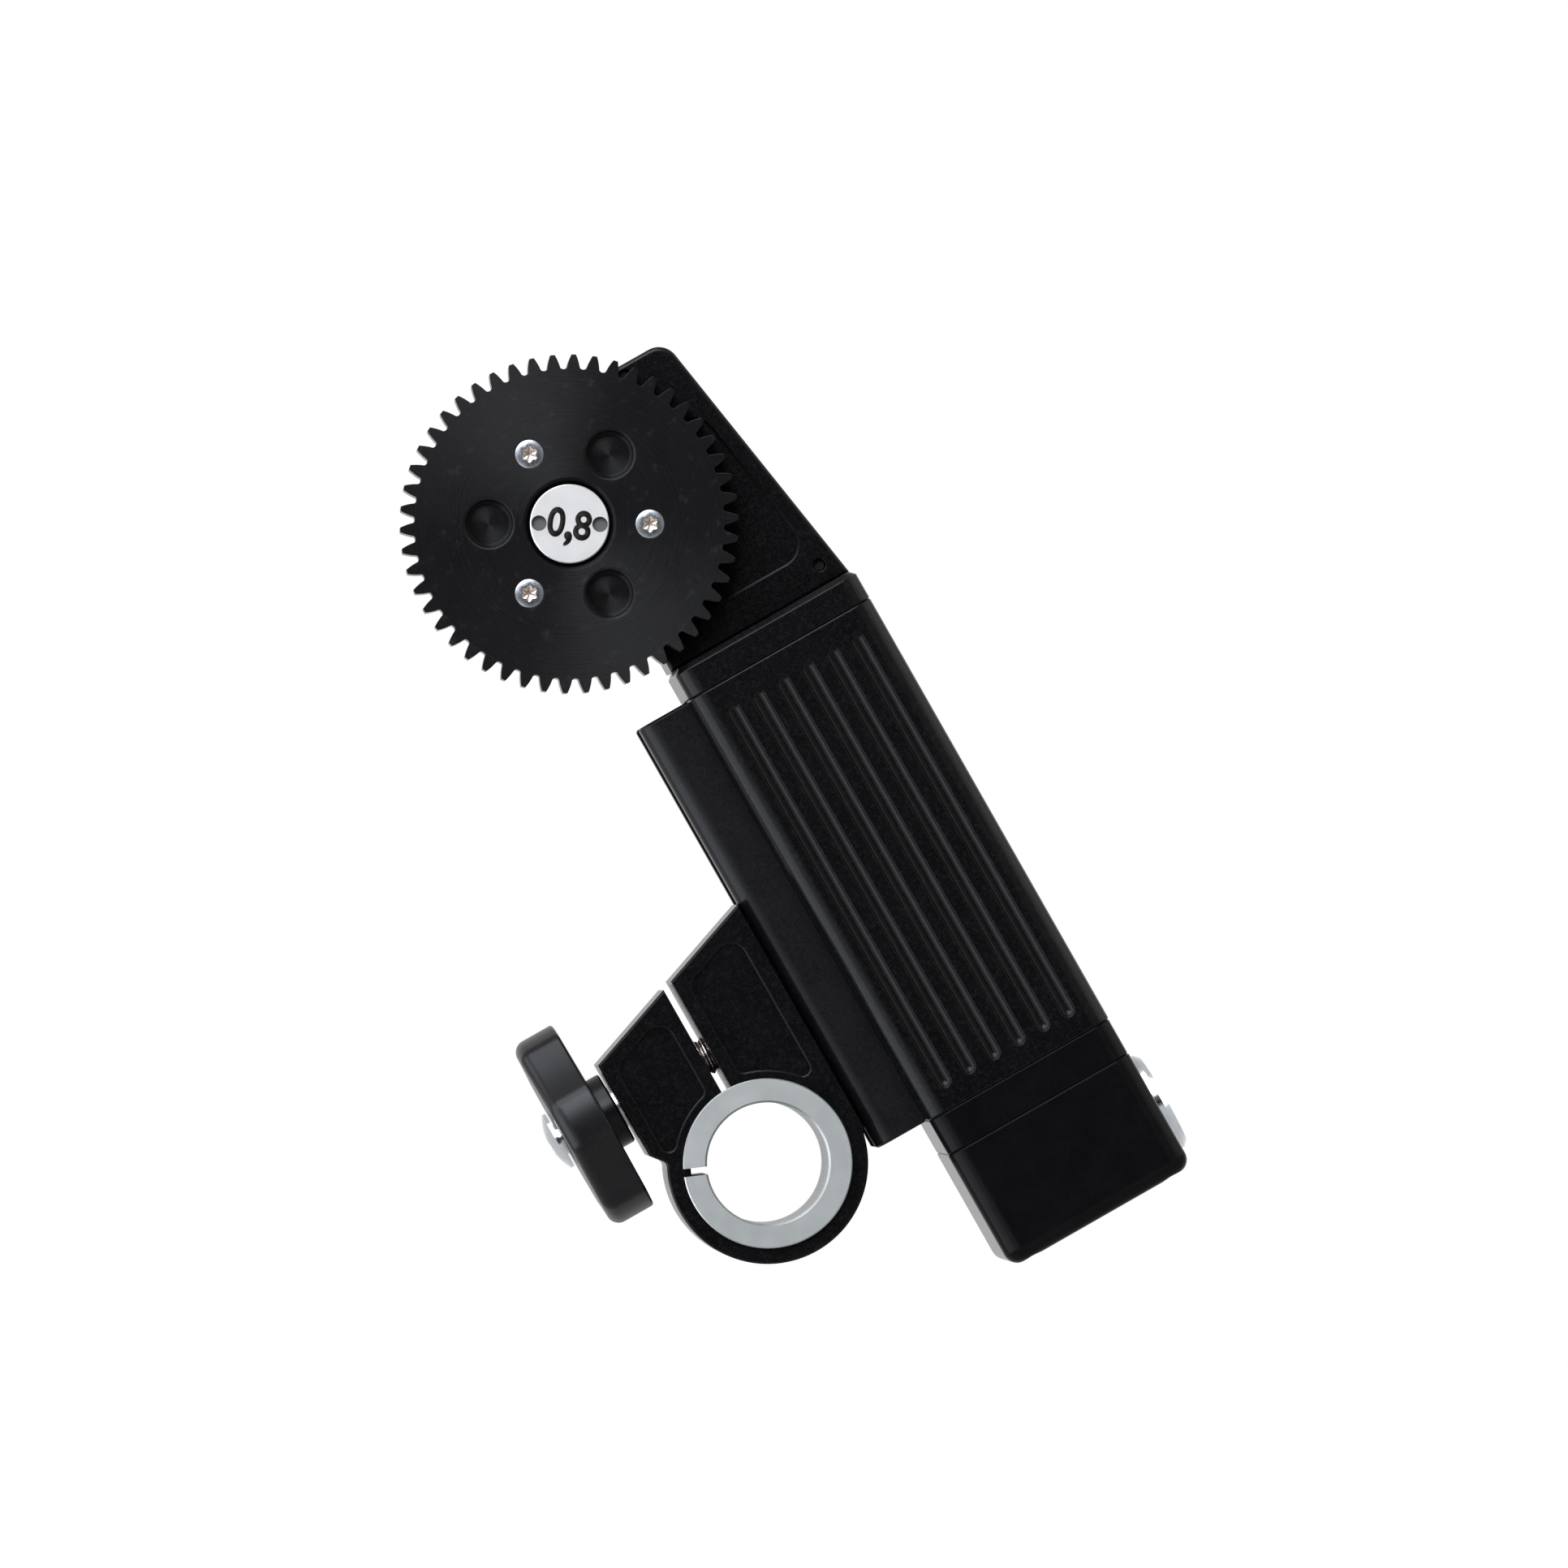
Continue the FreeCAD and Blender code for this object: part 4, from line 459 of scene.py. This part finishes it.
coverScrew = {"head": 1.6, "shank": 0.8, "height": 0.9, "soft": 0.08, "countersunk": True, "length": 15.0,
              "recess": sixSided(0.9), "recessDepth": 0.6, "sides": 72,
              "spots": [(42.03, 60.9), (21.43, 63.4), (32.78, 93.0)], "circle": 12.5, "angles": (125, 205)}
coverPlaces = [(across, coverBack, up) for across, up in coverScrew["spots"]]
coverPlaces += [aroundGear(coverScrew["circle"], angle, coverBack) for angle in coverScrew["angles"]]
coverScrews = screwSet("coverScrews", coverScrew, coverPlaces, towardsBack, finishes["black_steel"])
placePiece(coverScrews, "motor_unit", "cover_screws")

capScrew = {"head": 2.3, "shank": 1.25, "height": 1.2, "soft": 0.1, "countersunk": True, "length": 10.1,
            "recess": sixSided(1.5), "recessDepth": 0.9, "sides": 72}
capPlaces = [(*corner, capTop) for corner in corners]
capScrews = screwSet("capScrews", capScrew, capPlaces, upwards, finishes["black_steel"])
placePiece(capScrews, "motor_unit", "cap_screws")

baseScrew = {"head": 2.1, "shank": 1.25, "height": 2.0, "soft": 0.2, "countersunk": False, "length": 26.3,
             "recess": sixSided(2.0), "recessDepth": 1.2, "sides": 72, "sunk": 0.5}
basePlaces = [(*corner, footLow + baseScrew["sunk"]) for corner in corners]
baseScrews = screwSet("baseScrews", baseScrew, basePlaces, downwards, finishes["black_steel"])
placePiece(baseScrews, "motor_unit", "base_screws")
print("gear, cover, cap and base screws set")


# The clamp's stud: a turned core and its thread, wound by Geometry Nodes
stud = {"core": 2.05, "crest": 0.38, "pitch": 0.8, "startBore": 1.5, "startBoreDepth": 4.5, "lip": 0.1,
        "bevel": 0.4, "sides": 48, "ridgeSides": 4, "steps": 32}


def buildStud():
    low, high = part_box("clamp_stud")
    span = high.x / mm - low.x / mm
    core = ringedMesh("studCore", [
        (stud["startBore"], stud["startBoreDepth"]), (stud["startBore"], 0),
        (stud["core"] - stud["lip"], 0), (stud["core"], stud["lip"]),
        (stud["core"], span - stud["bevel"]), (stud["core"] - stud["bevel"], span)], stud["sides"])
    tree, enter, leave = newTree("studThreadTree", [
        ("Radius", "NodeSocketFloat"), ("Crest", "NodeSocketFloat"), ("Length", "NodeSocketFloat"),
        ("Turns", "NodeSocketFloat"), ("Steps", "NodeSocketInt"), ("Start", "NodeSocketVector"),
        ("Finish", "NodeSocketMaterial")])
    spiral = tree.nodes.new("GeometryNodeCurveSpiral")
    upright = addNode(tree, "GeometryNodeSetCurveNormal", mode="Z_UP")
    ridge = addNode(tree, "GeometryNodeCurvePrimitiveCircle", {"Resolution": stud["ridgeSides"]})
    sweep = addNode(tree, "GeometryNodeCurveToMesh", {"Fill Caps": True})
    lift = addNode(tree, "GeometryNodeTransform", {"Translation": (0, 0, stud["crest"] * mm)})
    join = tree.nodes.new("GeometryNodeJoinGeometry")
    place = addNode(tree, "GeometryNodeTransform", {"Rotation": (0, math.radians(90), 0)})
    solid = tree.nodes.new("GeometryNodeRealizeInstances")
    paint = tree.nodes.new("GeometryNodeSetMaterial")
    wire(tree, (enter, "Steps", spiral, "Resolution"), (enter, "Turns", spiral, "Rotations"),
         (enter, "Radius", spiral, "Start Radius"), (enter, "Radius", spiral, "End Radius"),
         (enter, "Length", spiral, "Height"), (enter, "Crest", ridge, "Radius"),
         (spiral, "Curve", upright, "Curve"), (upright, "Curve", sweep, "Curve"),
         (ridge, "Curve", sweep, "Profile Curve"), (sweep, "Mesh", lift, "Geometry"),
         (enter, "Geometry", join, "Geometry"), (lift, "Geometry", join, "Geometry"),
         (join, "Geometry", place, "Geometry"), (enter, "Start", place, "Translation"),
         (place, "Geometry", solid, "Geometry"), (solid, "Geometry", paint, "Geometry"),
         (enter, "Finish", paint, "Material"), (paint, "Geometry", leave, "Geometry"))
    threadLength = span - stud["bevel"] - 2 * stud["crest"]
    piece = runTree("threadedStud", tree, core, {
        "Radius": stud["core"] * mm, "Crest": stud["crest"] * mm, "Length": threadLength * mm,
        "Turns": threadLength / stud["pitch"], "Steps": stud["steps"],
        "Start": (low.x, 0, studCentre[2] * mm), "Finish": studSteel})
    placePiece(piece, "knob", "clamp_stud")


buildStud()
print("threaded stud wound")


# The tooth size inked on the hub nut's face. Boldness, gaps and weld are in the letters' own units
number = {"text": "0,8", "height": 3.7, "turn": -38.05, "ink": 0.03, "boldness": 0.027, "gaps": (0.015, 0.0),
          "widen": 0.9, "grow": {",": 1.25}, "weld": 1e-5}


# The outline of one digit or mark, flat in XY, with its left edge at x = 0
def flatMark(mark):
    curve = bpy.data.curves.new("mark", "FONT")
    curve.body = mark
    curve.offset = number["boldness"]
    item = bakeObject(linkObject("markHolder", curve), "mark")
    mesh = item.data
    bpy.data.objects.remove(item)
    top = max(vertex.co.y for vertex in mesh.vertices)
    grow = number["grow"].get(mark, 1.0)  # it grows downwards from its top
    grown = Matrix.Diagonal((grow, grow, 1, 1))
    mesh.transform(Matrix.Translation((0, top, 0)) @ grown @ Matrix.Translation((0, -top, 0)))
    mesh.transform(Matrix.Translation((-min(vertex.co.x for vertex in mesh.vertices), 0, 0)))
    return mesh


def buildNumber():
    build = bmesh.new()
    reach = 0
    digitLow = digitHigh = 0
    for mark, gap in zip(number["text"], (0, *number["gaps"])):
        mesh = flatMark(mark)
        mesh.transform(Matrix.Translation((reach + gap, 0, 0)))
        reach = max(vertex.co.x for vertex in mesh.vertices)
        if mark == "0":
            digitLow = min(vertex.co.y for vertex in mesh.vertices)
            digitHigh = max(vertex.co.y for vertex in mesh.vertices)
        build.from_mesh(mesh)
        bpy.data.meshes.remove(mesh)
    bmesh.ops.remove_doubles(build, verts=build.verts, dist=number["weld"])
    scale = number["height"] * mm / (digitHigh - digitLow)
    bmesh.ops.translate(build, verts=build.verts, vec=(-reach / 2, -(digitLow + digitHigh) / 2, 0))
    bmesh.ops.scale(build, verts=build.verts, vec=(scale * number["widen"], scale, scale))
    pushed = bmesh.ops.extrude_face_region(build, geom=build.faces[:])
    moved = [item for item in pushed["geom"] if isinstance(item, bmesh.types.BMVert)]
    bmesh.ops.translate(build, verts=moved, vec=(0, 0, -number["ink"] * mm))
    bmesh.ops.recalc_face_normals(build, faces=build.faces)
    spot = Vector((gearCentre[0], gearFront, gearCentre[2])) * mm
    place = Matrix.Translation(spot) @ Matrix.Rotation(math.radians(-number["turn"]), 4, "Y")
    bmesh.ops.transform(build, matrix=place @ Matrix.Rotation(math.radians(90), 4, "X"), verts=build.verts)
    mesh = bpy.data.meshes.new("inkedNumber")
    build.to_mesh(mesh)
    build.free()
    mesh.materials.append(numberInk)
    piece = linkObject("inkedNumber", mesh)
    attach(piece, "drive")


hubNut = {"weld": 1e-7, "faceSlack": 0.01, "sharpDegrees": 25}  # the weld is in metres


# The hub's nut, with its face set back by the ink's thickness
def buildHubNut():
    build = bmesh.new()
    build.from_mesh(nodes["hub_nut"].data)
    bmesh.ops.remove_doubles(build, verts=build.verts, dist=hubNut["weld"])
    build.verts.index_update()
    points = [vertex.co.copy() for vertex in build.verts]
    for point in points:
        if point.y < (gearFront + hubNut["faceSlack"]) * mm:
            point.y += number["ink"] * mm
    mesh = bpy.data.meshes.new("hubNut")
    mesh.from_pydata(points, [], [[vertex.index for vertex in face.verts] for face in build.faces])
    build.free()
    mesh.shade_smooth()
    mesh.set_sharp_from_angle(angle=math.radians(hubNut["sharpDegrees"]))
    mesh.materials.append(finishes["silver_aluminium"])
    placePiece(linkObject("hubNut", mesh), "drive", "hub_nut")


buildNumber()
buildHubNut()
print("hub nut numbered")


# The camera stands where the photograph was taken from, rolled so that the unit leans as it does there
view = {
    "target": (24.8, -10.0, 39.6), "towards": (-0.049, -1.0, 0.006), "distance": 1500.0,
    "frameWidth": 193.0, "turn": lean, "sensor": 36.0, "clipEnd": 20000.0,
}


def placeCamera():
    towards = Vector(view["towards"]).normalized()
    target = Vector(view["target"]) * mm
    camera = linkObject("photoCamera", bpy.data.cameras.new("photoCamera"))
    turn = math.radians(view["turn"])
    up = Vector((math.sin(turn), 0, math.cos(turn)))
    right = up.cross(towards).normalized()
    up = towards.cross(right).normalized()
    camera.matrix_world = Matrix.Translation(target + towards * view["distance"] * mm) @ Matrix(
        (right, up, towards)).transposed().to_4x4()
    camera.data.sensor_width = view["sensor"]
    camera.data.lens = view["sensor"] * view["distance"] / view["frameWidth"]
    camera.data.clip_end = view["clipEnd"] * mm
    bpy.context.scene.camera = camera


# The studio is in metres, apart from the floor's drop
white = (1, 1, 1, 1)
studio = {
    "floorRadius": 0.25, "floorSides": 96, "floorMiddle": (0.02, 0), "floorColour": (0.9, 0.9, 0.9),
    "floorGlow": 0.97, "floorDrop": 24.5, "worldColour": (0.8, 0.8, 0.82), "worldStrength": 0.2,
    "aim": (0.02, 0, 0.04),
    "lamps": [
        {"name": "leftLamp", "at": (-0.65, -0.24, 0.25), "width": 0.75, "height": 1.1, "power": 16.0,
         "colour": (0.88, 0.91, 1.0)},
        {"name": "frontLeftLamp", "at": (-0.42, -0.7, -0.2), "width": 0.42, "height": 0.5, "power": 1.8,
         "colour": (0.9, 0.93, 1.0)},
        {"name": "upperLamp", "at": (0.1, -0.9, 0.52), "width": 0.34, "height": 0.34, "power": 4.5,
         "colour": (0.9, 0.93, 1.0)},
        {"name": "topLamp", "at": (0.0, -0.6, 0.74), "width": 0.9, "height": 1.0, "power": 25.0,
         "colour": (0.9, 0.93, 1.0)},
        {"name": "rightLamp", "at": (0.8, -0.1, 0.2), "width": 0.7, "height": 0.9, "power": 4.0,
         "colour": (1.0, 0.99, 0.98)},
    ],
    "flag": {"y": -1.3, "middle": (0.1, 0.04), "half": 0.3},
}


# 1 for rays that the camera, a mirror or glass sends, 0 for light that falls on things
def seenRays(tree):
    path = addNode(tree, "ShaderNodeLightPath")
    seen = calculate(tree, "MAXIMUM", path.outputs["Is Camera Ray"], path.outputs["Is Glossy Ray"])
    return calculate(tree, "MAXIMUM", seen, path.outputs["Is Transmission Ray"])


def mixShaders(tree, factor, first, second):
    mix = addNode(tree, "ShaderNodeMixShader")
    tree.links.new(factor, mix.inputs[0])
    tree.links.new(first.outputs[0], mix.inputs[1])
    tree.links.new(second.outputs[0], mix.inputs[2])
    return mix.outputs[0]


def buildWorld():
    world = bpy.data.worlds.new("paleStudio")
    bpy.context.scene.world = world
    world.use_nodes = True
    tree = world.node_tree
    tree.nodes.clear()
    output = addNode(tree, "ShaderNodeOutputWorld")
    ambient = addNode(tree, "ShaderNodeBackground", {
        "Color": (*studio["worldColour"], 1), "Strength": studio["worldStrength"]})
    bright = addNode(tree, "ShaderNodeBackground", {"Color": white, "Strength": 1.0})
    tree.links.new(mixShaders(tree, seenRays(tree), ambient, bright), output.inputs[0])


# The floor's drop leaves room for the motor unit at the low end of its slide
def buildFloor():
    level = cadBox[0][2] - studio["floorDrop"] * mm
    build = bmesh.new()
    bmesh.ops.create_circle(build, cap_ends=True, segments=studio["floorSides"], radius=studio["floorRadius"])
    bmesh.ops.translate(build, verts=build.verts, vec=(*studio["floorMiddle"], level))
    mesh = bpy.data.meshes.new("paleFloor")
    build.to_mesh(mesh)
    build.free()
    floor = linkObject("paleFloor", mesh)
    material, tree, shader = startMaterial("paleFloor", {"roughness": 0.9, "specular": 0.0})
    shader.inputs["Base Color"].default_value = (*studio["floorColour"], 1)
    glow = addNode(tree, "ShaderNodeEmission", {"Color": white, "Strength": 1.0})
    share = calculate(tree, "MULTIPLY", seenRays(tree), studio["floorGlow"])
    tree.links.new(mixShaders(tree, share, shader, glow), tree.nodes["Material Output"].inputs["Surface"])
    mesh.materials.append(material)


# A dark cloth round the camera that only mirrors see, as the hole in a light tent
def buildFlag():
    cloth = studio["flag"]
    middle, half = cloth["middle"], cloth["half"]
    mesh = bpy.data.meshes.new("darkFlag")
    mesh.from_pydata([(middle[0] + across * half, cloth["y"], middle[1] + up * half)
                      for across, up in ((-1, -1), (1, -1), (1, 1), (-1, 1))], [], [(0, 1, 2, 3)])
    flag = linkObject("darkFlag", mesh)
    material, _, shader = startMaterial("darkFlag", {"roughness": 1.0, "specular": 0.0})
    shader.inputs["Base Color"].default_value = (0.0, 0.0, 0.0, 1)
    mesh.materials.append(material)
    for kind in ("camera", "diffuse", "transmission", "shadow", "volume_scatter"):
        setattr(flag, "visible_" + kind, False)


def placeLamps():
    for lamp in studio["lamps"]:
        data = bpy.data.lights.new(lamp["name"], "AREA")
        data.shape = "RECTANGLE"
        data.size, data.size_y = lamp["width"], lamp["height"]
        data.energy, data.color = lamp["power"], lamp["colour"]
        light = linkObject(lamp["name"], data)
        light.location = lamp["at"]
        aim = Vector(studio["aim"]) - Vector(lamp["at"])
        light.rotation_euler = aim.to_track_quat("-Z", "Y").to_euler()


placeCamera()
buildWorld()
buildFloor()
buildFlag()
placeLamps()
bpy.context.scene.view_settings.view_transform = "Standard"
print("camera, floor and lamps placed")
